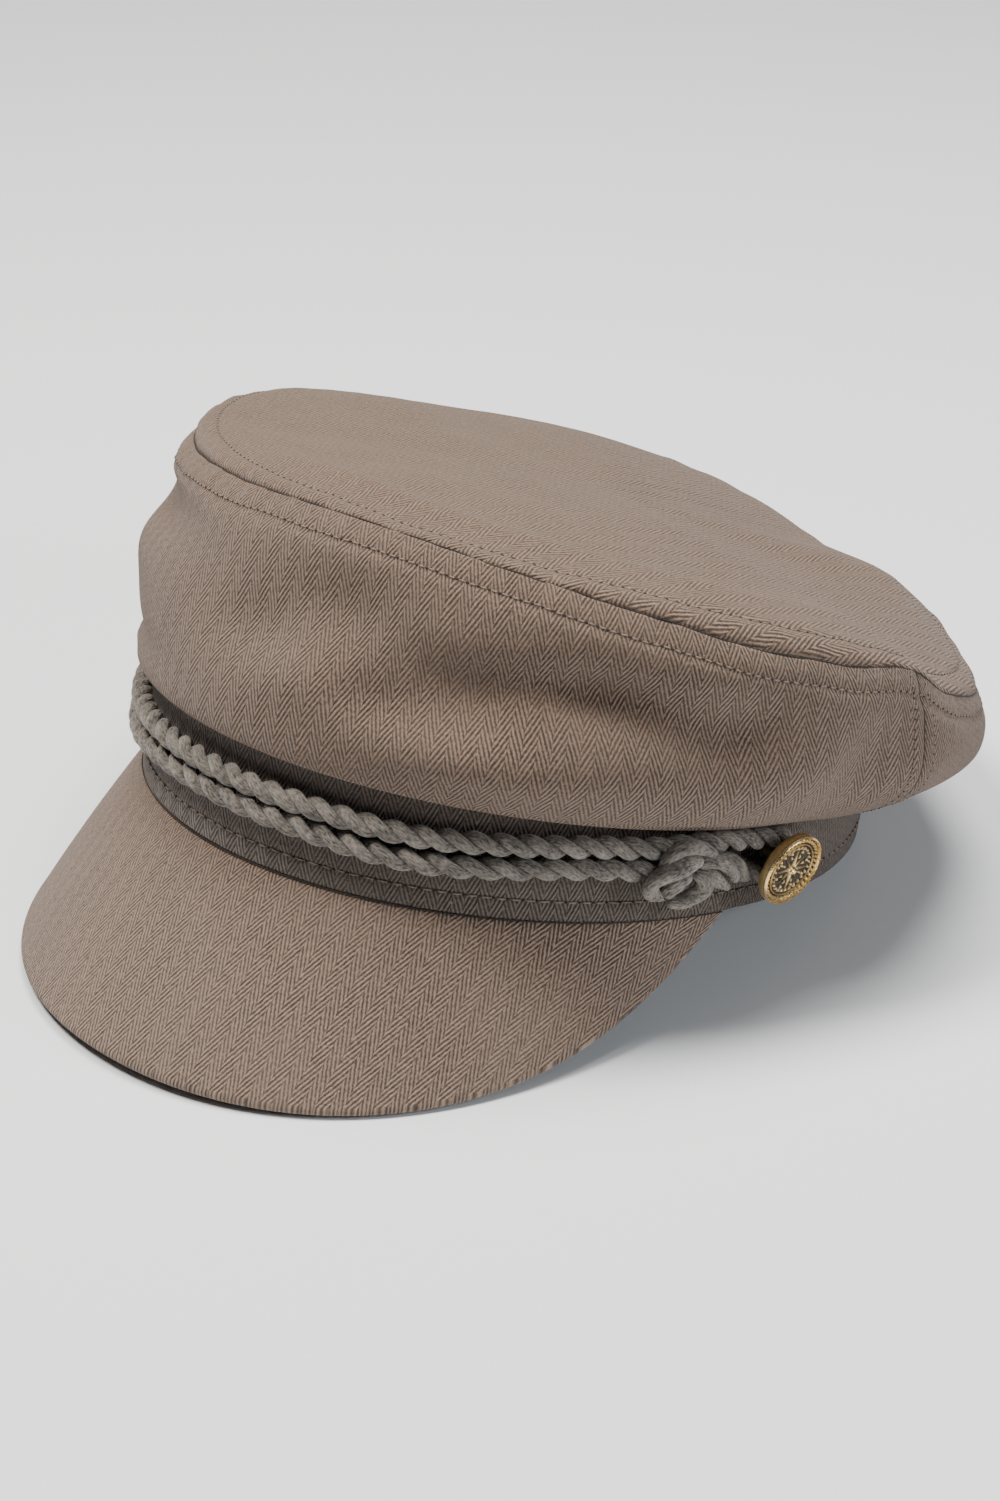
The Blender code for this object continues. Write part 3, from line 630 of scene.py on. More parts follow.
# %% [markdown]
# ### The side panels
# The side is cut in two, front and back, and joined over the temples by seams that lean back. Its
# lower edge rolls over the top of the band and is sewn inside it. A column of points therefore
# starts inside the band, comes out over its top, turns under in the roll, and climbs to the seam.

# %% Make a side panel
SIDE_COLUMNS = 230
SIDE_TALL = 0.052
ROLL_TURNS = [180, 200, 220, 240, 260, 280, 300, 320, 340]


def roll_points(angle):
    """From inside the band's top to the outside of the crown's rolled lower edge."""
    curl = (OVERHANG - GAP) / 2
    points = [on_band(angle, BAND_HEIGHT + GAP, out) for out in (-BAND_WALL, GAP)]
    for turn_deg in ROLL_TURNS:
        turn = math.radians(turn_deg)
        out = GAP + curl + curl * math.cos(turn)
        rise = curl + curl * math.sin(turn)
        points.append(on_band(angle, roll_height(angle) + rise, out))
    return points


def side_climbs():
    """Climbs that lie close together near the seam."""
    low = [0.07 + 0.02 * step for step in range(38)]
    near = [1.0 - step / 1000 / SIDE_TALL for step in reversed(FINE_STEPS_MM[:19])]
    return [climb for climb in low if climb < near[0] - 0.01] + near


def fine_columns(start, end):
    """Columns from seam to seam, close together near both."""
    reach = [step / 1000 / SIDE_ROUND for step in (0, 0.3, 0.6, 0.9, 1.3, 1.8, 2.4, 3.0, 3.6, 4.2, 5.0)]
    inner = np.linspace(start + reach[-1], end - reach[-1], SIDE_COLUMNS)[1:-1]
    return [start + step for step in reach] + list(inner) + [end - step for step in reversed(reach)]


def make_side(name, start_deg, end_deg):
    columns = fine_columns(math.radians(start_deg), math.radians(end_deg))
    climbs = side_climbs()
    lines = []
    for column in columns:
        foot_angle = side_angle(column, 0.0)
        line = roll_points(foot_angle) + [side_cloth(column, climb) for climb in climbs]
        lines.append(line)
    marks = []
    hem_length = len(ROLL_TURNS) + 2
    middle = len(lines[0]) * 2 // 3
    across = 0.0
    for index, line in enumerate(lines):
        if index:
            across += (line[middle] - lines[index - 1][middle]).length
        along = -(line[hem_length] - line[0]).length
        column_marks = []
        for step, point in enumerate(line):
            if step:
                along += (point - line[step - 1]).length
            column_marks.append((across, along))
        marks.append(column_marks)
    rows = [[line[step] for line in lines] for step in range(len(lines[0]))]
    row_marks = [[line[step] for line in marks] for step in range(len(lines[0]))]
    thing = add_piece(name, sheet_mesh(name, rows, row_marks), crown_cloth)
    add_wall(thing, CLOTH)
    return made_plain(thing)


front_piece = make_side("crown_front_cloth", -SIDE_SEAM_DEG, SIDE_SEAM_DEG)
dress(front_piece, "crown_cloth", "crown_front")
back_piece = make_side("crown_back_cloth", SIDE_SEAM_DEG, 360.0 - SIDE_SEAM_DEG)
dress(back_piece, "crown_cloth", "crown_back")

# %% [markdown]
# ### The band
# The band is a stiff strip of the same cloth, folded at its lower edge. Its cross-section is a
# closed line: up the outside, over the top, down the inside and round the fold. That line goes
# once round the head.

# %% Make the band
BAND_COLUMNS = 360
BAND_STITCH_HEIGHT = 0.0050
BAND_EDGE_ROUND = 0.0005
SOFT_FROM_EDGE = 0.006


def band_section():
    """Pairs of out and height, from the fold up the outside and back down the inside."""
    fold = BAND_WALL / 2
    tight = BAND_EDGE_ROUND
    section = [(-fold, 0.0)]
    for turn_deg in range(-90, 1, 18):
        turn = math.radians(turn_deg)
        section.append((tight * math.cos(turn) - tight, tight + tight * math.sin(turn)))
    heights = [0.0012, 0.0018, 0.0026, 0.0034, 0.0040, 0.0044, 0.0048, 0.0052, 0.0056, 0.0062, 0.0072]
    heights += [0.0090, 0.0115, 0.0150, 0.0190, 0.0235, 0.0280]
    section += [(0.0, height) for height in heights]
    section += [(0.0, BAND_HEIGHT), (-BAND_WALL, BAND_HEIGHT)]
    section += [(-BAND_WALL, BAND_HEIGHT * share) for share in (0.8, 0.6, 0.4, 0.2)]
    for turn_deg in range(180, 271, 15):
        turn = math.radians(turn_deg)
        section.append((fold * math.cos(turn) - fold, fold + fold * math.sin(turn)))
    return section


def make_band():
    section = band_section()
    rows = []
    marks = []
    along = 0.0
    for index, (out, height) in enumerate(section):
        if index:
            along += math.dist(section[index - 1], (out, height))
        row = []
        row_marks = []
        across = 0.0
        for step in range(BAND_COLUMNS + 1):
            angle = 2 * math.pi * step / BAND_COLUMNS
            plain = on_band(angle, height, out)
            press = STITCH_PRESS * bump(height, BAND_STITCH_HEIGHT, STITCH_PRESS_WIDE)
            lift = softness(plain, "band") * min(1.0, height / SOFT_FROM_EDGE)
            if out == 0.0 and height < BAND_HEIGHT:
                plain = on_band(angle, height, lift - press)
            row.append(plain)
            row_marks.append((across, along))
            across += band_step(angle) * 2 * math.pi / BAND_COLUMNS
        rows.append(row)
        marks.append(row_marks)
    thing = add_piece("band_cloth_strip", sheet_mesh("band_cloth_strip", rows, marks), band_cloth)
    return made_plain(thing)


band_piece = make_band()
dress(band_piece, "band_cloth", "band")

# %% [markdown]
# ### The peak
# The peak is a stiff crescent, covered in cloth and sewn under the front of the band. It slopes
# down at the front and more steeply at its ends. Its section is closed as well: out along the
# underside, round the rim, and back along the top. On the flat cloth it is a piece of a ring, so
# the UVs are worked out as if the peak were unrolled. The ribs then run fore and aft, as the cloth
# was cut.

# %% Make the peak
PEAK_FINE_COLUMNS = 220
PEAK_CAMBER = 0.0010
PEAK_TUCK = 0.0003
PEAK_SEAM_DIP = 0.0005
PEAK_SEAM_WIDE = 0.0010
PEAK_REACHES = [0, 0.012, 0.03, 0.06, 0.1, 0.15, 0.2, 0.27, 0.34, 0.41, 0.48, 0.55, 0.62, 0.69, 0.76,
                0.82, 0.88, 0.93, 0.97, 1.0]


def peak_slope(share):
    """Slope under the horizon, which grows from the front to the ends."""
    steeper = (PEAK_END_SLOPE_DEG - PEAK_SLOPE_DEG) * abs(share) ** PEAK_STEEPENING
    return math.radians(PEAK_SLOPE_DEG + steeper)


def peak_width(share):
    return PEAK_TIP + (PEAK_REACH - PEAK_TIP) * (1.0 - abs(share) ** PEAK_ROUNDNESS)


def peak_point(share, reach):
    """Share runs from -1 to 1 across the peak, and reach from 0 at the band to 1 at the rim."""
    angle = math.radians(PEAK_HALF_DEG) * share
    slope = peak_slope(share)
    down = outward(angle) * math.cos(slope) - Vector((0.0, 0.0, math.sin(slope)))
    return on_band(angle, PEAK_TUCK, -PEAK_TUCK) + down * peak_width(share) * reach


def peak_normal(share, reach):
    step = 0.004
    left, right = max(-1.0, share - step), min(1.0, share + step)
    near, far = max(0.0, reach - step), min(1.0, reach + step)
    across = peak_point(right, reach) - peak_point(left, reach)
    down = peak_point(share, far) - peak_point(share, near)
    return down.cross(across).normalized()


def peak_mark(share, reach):
    """The same place on the flat cloth."""
    lay_flat = math.cos(math.radians(PEAK_SLOPE_DEG))
    turn = math.radians(PEAK_HALF_DEG) * share * lay_flat
    far = (BAND_LENGTH + BAND_WIDTH) / 4 / lay_flat + peak_width(share) * reach
    return (far * math.sin(turn), -far * math.cos(turn))


def make_peak():
    half = PEAK_WALL / 2
    section = [("under", reach, 0.0) for reach in PEAK_REACHES]
    section += [("rim", 1.0, turn_deg) for turn_deg in (-70, -50, -30, -10, 10, 30, 50, 70)]
    section += [("top", reach, 0.0) for reach in reversed(PEAK_REACHES)]
    rows = []
    marks = []
    for kind, reach, turn_deg in [*section, section[0]]:
        row = []
        row_marks = []
        for step in range(PEAK_FINE_COLUMNS + 1):
            share = 2 * step / PEAK_FINE_COLUMNS - 1
            width = peak_width(share)
            reached = reach * (1.0 - half / width)
            normal = peak_normal(share, reached)
            down = (peak_point(share, 1.0) - peak_point(share, 0.0)).normalized()
            core = peak_point(share, reached) - normal * half
            camber = PEAK_CAMBER * math.sin(math.pi * reach) * width / PEAK_REACH
            tuck = PEAK_SEAM_DIP * bump(reach * width, 0.0, PEAK_SEAM_WIDE)
            if kind == "top":
                lift = softness(core, "peak")
                point = core + normal * (half + camber + lift - tuck)
            elif kind == "under":
                point = core - normal * (half - camber)
            else:
                turn = math.radians(turn_deg)
                point = core + normal * half * math.sin(turn) + down * half * math.cos(turn)
            row.append(point)
            row_marks.append(peak_mark(share, reach))
        rows.append(row)
        marks.append(row_marks)
    mesh = sheet_mesh("peak_cloth_cover", rows, marks, closed_ends=True)
    return made_plain(add_piece("peak_cloth_cover", mesh, peak_cloth))


peak_piece = make_peak()
dress(peak_piece, "peak_cloth", "peak")

# %% [markdown]
# ## Topstitching
# A stitch is a short piece of thread that dives into the cloth at both ends and leaves a small pit
# there. Its shade is painted: a small dark form lies in the pit. Hundreds of stitches follow a few
# lines, which is work for Geometry Nodes: a tree walks along each line, drops a point at every
# stitch, and turns a small form to the line and to the face of the cloth.

# %% Thread material, and the painted shade material
def plain_yarn_material(name, colour, dark, fine):
    material, tree, shader = start_material(name, 0.95)
    spot = tree.nodes.new("ShaderNodeTexCoord").outputs["Object"]
    grain = cloud(tree, spot, fine, 2.0)
    tree.links.new(blend_colour(tree, grain, dark, colour), shader.inputs["Base Color"])
    add_bump(tree, shader, grain, 0.0001)
    return material


thread_material = plain_yarn_material("thread", (0.270, 0.205, 0.165), (0.12, 0.09, 0.072), 2500.0)
# Near black: painted shade for the stitch pits and the bottoms of the seams.
painted_shade_material = plain_yarn_material("painted_seam_and_pit_shade", (0.040, 0.030, 0.024), (0.02, 0.015, 0.012), 900.0)


# %% A tree that sews along lines
def new_tree(name, sizes):
    """A Geometry Nodes tree with named inputs. Returns it and the identifiers of its inputs."""
    tree = bpy.data.node_groups.new(name, "GeometryNodeTree")
    face = tree.interface
    face.new_socket("Geometry", in_out="INPUT", socket_type="NodeSocketGeometry")
    face.new_socket("Geometry", in_out="OUTPUT", socket_type="NodeSocketGeometry")
    names = {}
    for title in sizes:
        kind = "NodeSocketMaterial" if title == "Material" else "NodeSocketFloat"
        names[title] = face.new_socket(title, in_out="INPUT", socket_type=kind).identifier
    return tree, names


def place_forms(tree, points, form, rotation, scale, material):
    """Put a form on every point, make it real mesh, and give it its material."""
    placed = add_node(tree, "GeometryNodeInstanceOnPoints",
                      {"Points": points, "Instance": form, "Rotation": rotation, "Scale": scale})
    real = add_node(tree, "GeometryNodeRealizeInstances", {"Geometry": placed.outputs[0]})
    add_node(tree, "NodeGroupOutput", {0: add_node(
        tree, "GeometryNodeSetMaterial",
        {"Geometry": real.outputs[0], "Material": material}).outputs[0]})


def make_sewing_tree():
    sizes = ["Spacing", "Length", "Thickness", "Lift", "Material"]
    tree, names = new_tree("sewing", sizes)
    given = tree.nodes.new("NodeGroupInput").outputs
    line = add_node(tree, "GeometryNodeMeshToCurve", {"Mesh": given["Geometry"]})
    spaced = add_node(tree, "GeometryNodeResampleCurve",
                      {"Curve": line.outputs[0], "Length": given["Spacing"]}, mode="LENGTH")
    facing = add_node(tree, "GeometryNodeInputNamedAttribute", {"Name": "facing"},
                      data_type="FLOAT_VECTOR")
    tangent = add_node(tree, "GeometryNodeInputTangent")
    along = add_node(tree, "FunctionNodeAlignRotationToVector",
                     {"Vector": tangent.outputs[0]}, axis="X")
    turned = add_node(tree, "FunctionNodeAlignRotationToVector",
                      {"Rotation": along.outputs[0], "Vector": facing.outputs[0]},
                      axis="Z", pivot_axis="X")
    sway = add_node(tree, "FunctionNodeRandomValue",
                    {"Min": (0, 0, -0.09), "Max": (0, 0, 0.09), "Seed": 5}, data_type="FLOAT_VECTOR")
    swayed = add_node(tree, "FunctionNodeEulerToRotation", {"Euler": sway.outputs[0]})
    final = add_node(tree, "FunctionNodeRotateRotation",
                     {"Rotation": turned.outputs[0], "Rotate By": swayed.outputs[0]},
                     rotation_space="LOCAL")
    form = add_node(tree, "GeometryNodeMeshUVSphere", {"Segments": 8, "Rings": 5, "Radius": 0.5})
    size = add_node(tree, "ShaderNodeCombineXYZ", {"X": given["Length"], "Y": given["Thickness"],
                                                   "Z": given["Thickness"]})
    lifted = add_node(tree, "ShaderNodeVectorMath", {0: facing.outputs[0], "Scale": given["Lift"]},
                      operation="SCALE")
    moved = add_node(tree, "GeometryNodeSetPosition",
                     {"Geometry": spaced.outputs[0], "Offset": lifted.outputs[0]})
    place_forms(tree, moved.outputs[0], form.outputs[0], final.outputs[0], size.outputs[0],
                given["Material"])
    return tree, names


SEWING, SEWING_NAMES = make_sewing_tree()


def line_mesh(name, lines):
    """Loose lines of points in the level cap, each point with the way its cloth faces."""
    places = []
    faces = []
    edges = []
    for points, facings, closed in lines:
        start = len(places)
        places += [AT_REST @ point for point in points]
        faces += [AT_REST.to_3x3() @ facing for facing in facings]
        edges += [(start + step, start + step + 1) for step in range(len(points) - 1)]
        if closed:
            edges.append((len(places) - 1, start))
    mesh = bpy.data.meshes.new(name)
    mesh.from_pydata(places, edges, [])
    stored = mesh.attributes.new("facing", "FLOAT_VECTOR", "POINT")
    stored.data.foreach_set("vector", [part for facing in faces for part in facing])
    return mesh


def run_tree(thing, tree, names, values, material):
    """Put a tree on a piece, with its inputs set, and keep what it makes."""
    nodes = thing.modifiers.new(tree.name, "NODES")
    nodes.node_group = tree
    for title, value in values.items():
        nodes[names[title]] = value
    nodes[names["Material"]] = material
    made_plain(thing)
    return thing


PIT_LENGTH = 0.0009
PIT_WIDE = 0.00056
THREAD_WIDE = 0.00045


def sew(name, lines, slot, spacing=0.0026):
    """A row of stitches along each line, and a dark form of painted shade in the pit between each two."""
    shift = spacing / 2
    thread = add_piece(name + "_thread", line_mesh(name, lines))
    values = {"Spacing": spacing, "Length": spacing - PIT_LENGTH, "Thickness": THREAD_WIDE,
              "Lift": 0.00004}
    run_tree(thread, SEWING, SEWING_NAMES, values, thread_material)
    dress(thread, slot)
    # Dark forms in the pits between the stitches: painted shade.
    pits = add_piece(name + "_pits", line_mesh(name, [slid(*line, shift) for line in lines]))
    values = {"Spacing": spacing, "Length": PIT_LENGTH, "Thickness": PIT_WIDE, "Lift": 0.0}
    run_tree(pits, SEWING, SEWING_NAMES, values, painted_shade_material)
    dress(pits, slot)


def slid(points, facings, closed, shift):
    """The same line, starting a little further along."""
    gone = 0.0
    index = 0
    while gone < shift:
        index += 1
        gap = (points[index] - points[index - 1]).length
        gone += gap
    start = points[index].lerp(points[index - 1], (gone - shift) / gap)
    moved = [start, *points[index:]]
    turned = [facings[index], *facings[index:]]
    if closed:
        moved += points[:index]
        turned += facings[:index]
    return moved, turned, closed


# %% [markdown]
# The lines run on the cloth itself: 6 mm to each side of the top seam, beside both side seams, and
# above the lower edge of the band. For each point we also need the way the cloth faces, which is
# square to two short steps on it.

# %% Sew the crown and the band
def facing_of(surface, first, second, step=0.002):
    """The way a surface of two values faces at a place."""
    along = surface(first + step, second) - surface(first - step, second)
    up = surface(first, second + step) - surface(first, second - step)
    return along.cross(up).normalized()


def surface_line(surface, pairs, closed=False, sign=1.0):
    points = [surface(*pair) for pair in pairs]
    facings = [facing_of(surface, *pair) * sign for pair in pairs]
    return points, facings, closed


def ring(count=500):
    return [2 * math.pi * step / count for step in range(count)]


def climb_below_seam(column, distance):
    """The climb at which the side is this far below the top seam."""
    rim = side_cloth(column, 1.0)
    low, high = 0.6, 1.0
    for _ in range(14):
        middle = (low + high) / 2
        if (side_cloth(column, middle) - rim).length > distance:
            low = middle
        else:
            high = middle
    return low


top_reach = 1.0 - STITCH_AWAY / SIDE_ROUND
top_line = surface_line(top_cloth, [(angle, top_reach) for angle in ring()], True, -1.0)
side_line = surface_line(
    side_cloth, [(angle, climb_below_seam(angle, STITCH_AWAY)) for angle in ring()], True)
sew("top_seam", [top_line, side_line], "crown_cloth")

seam_lines = []
for middle_deg in (SIDE_SEAM_DEG, -SIDE_SEAM_DEG):
    for away in (-SIDE_STITCH_AWAY, SIDE_STITCH_AWAY):
        column = math.radians(middle_deg) + away / SIDE_ROUND
        climbs = [0.08 + 0.88 * step / 60 for step in range(61)]
        seam_lines.append(surface_line(side_cloth, [(column, climb) for climb in climbs]))
sew("side_seams", seam_lines, "crown_cloth")


def band_face(angle, height):
    return on_band(angle, height, -STITCH_PRESS * 0.6)


band_line = surface_line(band_face, [(angle, BAND_STITCH_HEIGHT) for angle in ring()], True)
sew("band_edge", [band_line], "band_cloth", spacing=0.0035)

# %% [markdown]
# ## The cords
# Two soft cords cross the front of the band. Each is laid from two fat strands, and each strand is
# itself spun from fine yarn, so light and shade come at three sizes: the fat lobes, the fibres
# along them, and a haze of loose hairs. A tube with a picture of rope on it would have a straight
# outline, so the strands are real tubes that wind round the cord's middle line. The solids of the
# cords have a simpler lay.

# %% Lines and tubes
CORD_OUT = GAP + CORD_THICK / 2
BUTTON_NOD = math.radians(BUTTON_NOD_DEG)
BUTTON_OUT = CORD_THICK + 2 * GAP + BUTTON_DIAMETER / 2 * math.sin(BUTTON_NOD)


def smooth_line(points, spacing):
    """Evenly spaced points along a smooth curve through the given ones."""
    ends = [points[0] * 2 - points[1], *points, points[-1] * 2 - points[-2]]
    fine = []
    for index in range(1, len(ends) - 2):
        before, start, end, after = ends[index - 1:index + 3]
        for part in (step / 24 for step in range(24)):
            pull = (end - before) * 0.5
            push = (after - start) * 0.5
            turn = start * 2 - end * 2 + pull + push
            bend = (end - start) * 3 - pull * 2 - push
            fine.append(start + pull * part + bend * part ** 2 + turn * part ** 3)
    fine = np.array([*fine, points[-1]])
    travelled = np.concatenate([[0.0], np.cumsum(np.linalg.norm(np.diff(fine, axis=0), axis=1))])
    count = max(3, round(travelled[-1] / spacing))
    wanted = np.linspace(0.0, travelled[-1], count + 1)
    return np.stack([np.interp(wanted, travelled, fine[:, axis]) for axis in range(3)], axis=1)


def crosswise(line):
    """Two directions square to a line at each point, turning as little as they can."""
    ahead = np.gradient(line, axis=0)
    ahead /= np.linalg.norm(ahead, axis=1)[:, None]
    side = np.cross(ahead[0], [0.0, 0.0, 1.0])
    sides = []
    for direction in ahead:
        side = side - direction * (side @ direction)
        side /= np.linalg.norm(side)
        sides.append(side)
    sides = np.array(sides)
    return sides, np.cross(ahead, sides)


def tube(line, radius, around=14, ends_rounded=True):
    """Corners, faces and UVs of a closed tube. The radius is one number, or one for each point."""
    sides, ups = crosswise(line)
    radii = np.broadcast_to(np.asarray(radius, float), (len(line),)).copy()
    travelled = np.concatenate([[0.0], np.cumsum(np.linalg.norm(np.diff(line, axis=0), axis=1))])
    if ends_rounded:
        near_end = np.minimum(travelled, travelled[-1] - travelled)
        left = np.clip(1.0 - near_end / radii, 0.0, 0.97)
        radii *= np.sqrt(1.0 - left ** 2)
    turns = np.arange(around) * 2 * math.pi / around
    rings = (np.cos(turns)[None, :, None] * sides[:, None, :]
             + np.sin(turns)[None, :, None] * ups[:, None, :]) * radii[:, None, None]
    corners = (line[:, None, :] + rings).reshape(-1, 3)
    faces = []
    marks = []
    girth = float(np.mean(radii)) * 2 * math.pi
    for step in range(len(line) - 1):
        for spot in range(around):
            after = (spot + 1) % around
            faces.append((step * around + spot, step * around + after,
                          (step + 1) * around + after, (step + 1) * around + spot))
            marks += [(spot / around * girth, travelled[step]),
                      ((spot + 1) / around * girth, travelled[step]),
                      ((spot + 1) / around * girth, travelled[step + 1]),
                      (spot / around * girth, travelled[step + 1])]
    last = (len(line) - 1) * around
    faces.append(tuple(reversed(range(around))))
    faces.append(tuple(range(last, last + around)))
    marks += [(0.0, 0.0)] * (2 * around)
    return corners, faces, marks


def tubes_mesh(name, tubes):
    """One mesh of several tubes, put at rest."""
    corners = []
    faces = []
    marks = []
    for places, quads, spots in tubes:
        start = len(corners)
        corners += [AT_REST @ Vector(place) for place in places]
        faces += [tuple(start + corner for corner in quad) for quad in quads]
        marks += spots
    mesh = bpy.data.meshes.new(name)
    mesh.from_pydata(corners, [], faces)
    layer = mesh.uv_layers.new(name="yarn")
    layer.data.foreach_set("uv", [part for mark in marks for part in mark])
    mesh.shade_smooth()
    return mesh


# %% [markdown]
# The bottom of a seam's groove never gets any light. A thin dark cord of shadow thread lies there,
# along the top seam, both side seams, and where the band meets the peak. A thicker one closes the
# gap under the crown's roll.

# %% Darken the bottoms of the seams
SEAM_LINE = 0.00017
ROLL_LINE = 0.0006
ROLL_LINE_UP = 0.0004
ROLL_LINE_OUT = 0.0009


def seam_line(name, slot, lines, thick=SEAM_LINE):
    tubes = [tube(np.array(line), thick, around=6, ends_rounded=False) for line in lines]
    thing = add_piece(name, tubes_mesh(name, tubes), painted_shade_material)
    made_plain(thing)
    dress(thing, slot)


crown_lines = [[top_cloth(angle, 1.0) for angle in [*ring(720), 0.0]]]
for middle_deg in (SIDE_SEAM_DEG, -SIDE_SEAM_DEG):
    climbs = [0.08 + 0.92 * step / 90 for step in range(91)]
    crown_lines.append([side_cloth(math.radians(middle_deg), climb) for climb in climbs])
seam_line("crown_seam_lines", "crown_cloth", crown_lines)
peak_end = math.radians(PEAK_HALF_DEG)
peak_angles = [peak_end * (step / 150 - 1) for step in range(301)]
seam_line("peak_seam_line", "peak_cloth", [[on_band(angle, -0.0001, 0.0001) for angle in peak_angles]])
roll_line = []
for angle in [*ring(480), 0.0]:
    roll_line.append(on_band(angle, roll_height(angle) + ROLL_LINE_UP, ROLL_LINE_OUT))
seam_line("roll_shadow_line", "crown_cloth", [roll_line], thick=ROLL_LINE)

# %% Yarn material
FIBRES_SHOW = 0.65
YARN_DARKEST = 0.34
YARN_CONTRAST = 3.2
FIBRE_RELIEF = 0.0006


def yarn_material(name, light, dark):
    material, tree, shader = start_material(name, 0.96)
    soften(shader, 0.2, 0.25, 0.5)
    own = add_node(tree, "ShaderNodeUVMap", uv_map="yarn")
    fibres = cloud(tree, stretched(tree, own.outputs["UV"], (2300.0, 900.0, 1.0)), 1.0, 5.0)
    spot = tree.nodes.new("ShaderNodeTexCoord").outputs["Object"]
    uneven = cloud(tree, spot, 220.0, 3.0)
    tone = calc(tree, "ADD", calc(tree, "MULTIPLY", fibres, FIBRES_SHOW),
                calc(tree, "MULTIPLY", uneven, 1.0 - FIBRES_SHOW))
    ramp = calc(tree, "MULTIPLY", calc(tree, "SUBTRACT", tone, YARN_DARKEST), YARN_CONTRAST)
    colour = blend_colour(tree, ramp, dark, light)
    tree.links.new(colour, shader.inputs["Base Color"])
    add_bump(tree, shader, fibres, FIBRE_RELIEF)
    return material


cord_yarn = yarn_material("cord_yarn", (0.300, 0.267, 0.230), (0.030, 0.026, 0.022))
fuzz_yarn = plain_yarn_material("cord_fuzz", (0.290, 0.260, 0.225), (0.15, 0.135, 0.115), 600.0)

# %% [markdown]
# The two cords run from button to button. In front they follow the band. Past the knot they climb
# a little, then spread and close round the button's shank. Their middle line is written as a few
# places on the band and smoothed.

# %% Lay the cords
STRAND_THICK = 0.00315
STRAND_TURN = 0.00130
STRAND_PITCH = {"upper": 0.0126, "lower": 0.0139}
CORD_SETTLED = 0.0008
CORD_WAVES = table(
    "deg wide_deg upper lower",
    (33, 14, -0.0012, -0.0019),
    (60, 9, 0.0004, 0.0005),
)
CORD_STEP = 0.0007
EYE = table(
    "behind lift",
    (0.0, 1.0),
    (0.72, 0.70),
    (1.0, 0.06),
)
PAST_KNOT = table(
    "deg upper lower",
    (66.0, 0.0002, 0.0004),
    (70.0, 0.0004, 0.0014),
    (74.5, 0.0008, 0.0024),
    (79.5, 0.0008, 0.0006),
    (84.5, 0.0000, -0.0030),
)


def cord_height(word, level, angle):
    """Height of a cord here. It hangs a little lower between the front and each temple."""
    away = abs(math.degrees(angle))
    return level + sum(row[word] * bump(away, row["deg"], row["wide_deg"]) for row in CORD_WAVES)


def cord_half(word, level, side):
    """Places of a cord from the middle of the front to behind one button's shank."""
    places = []
    for step in range(13):
        angle = math.radians(5.0 * step)
        height = cord_height(word, level, angle)
        places.append(on_band(side * angle, height, CORD_OUT - CORD_SETTLED))
    for row in PAST_KNOT:
        places.append(on_band(side * math.radians(row["deg"]), level + row[word], CORD_OUT))
    shank_height = BUTTON_HEIGHT + (BUTTON_OUT - CORD_OUT) * math.tan(BUTTON_NOD)
    spread = (BUTTON_SHANK + CORD_THICK) / 2 + GAP
    lift = spread if word == "upper" else -spread
    at_button = math.radians(BUTTON_DEG)
    for row in EYE:
        behind = at_button + spread * row["behind"] / band_step(at_button)
        places.append(on_band(side * behind, shank_height + lift * row["lift"], CORD_OUT))
    return places


def cord_line(word, level):
    right = cord_half(word, level, -1)
    left = cord_half(word, level, 1)
    return smooth_line([*reversed(right), *left[1:]], CORD_STEP)


def laid_strands(line, pitch, start_turn=0.0, thick=STRAND_THICK, away=STRAND_TURN, count=2):
    """Tubes that wind round a line, as the strands of a rope do."""
    sides, ups = crosswise(line)
    travelled = np.arange(len(line)) * np.linalg.norm(line[1] - line[0])
    strands = []
    for strand in range(count):
        turn = start_turn + 2 * math.pi * (travelled / pitch + strand / count)
        path = line + away * (np.cos(turn)[:, None] * sides + np.sin(turn)[:, None] * ups)
        plump = thick / 2 * (1.0 + 0.04 * np.sin(travelled / 0.0031 + strand * 2.1))
        strands.append(tube(path, plump))
    return strands


cord_pieces = []
for word, level, start_turn in (("upper", CORD_UPPER_HEIGHT, 0.4), ("lower", CORD_LOWER_HEIGHT, 1.7)):
    strands = laid_strands(cord_line(word, level), STRAND_PITCH[word], start_turn)
    piece = add_piece(f"cord_{word}_yarn", tubes_mesh(f"cord_{word}_yarn", strands), cord_yarn)
    dress(piece, "cord_yarn", f"cord_{word}")
    cord_pieces.append(piece)

# %% [markdown]
# ### The knots
# Over each temple the cords are tied. What shows is an arch of soft yarn, a fat turn that comes out
# from under it, a short tail, and two strands that run on to the button. Each turn is written as a
# few places: how far back from the knot's middle, how far up, how far out of the band, and how
# thick it is, all in millimetres.

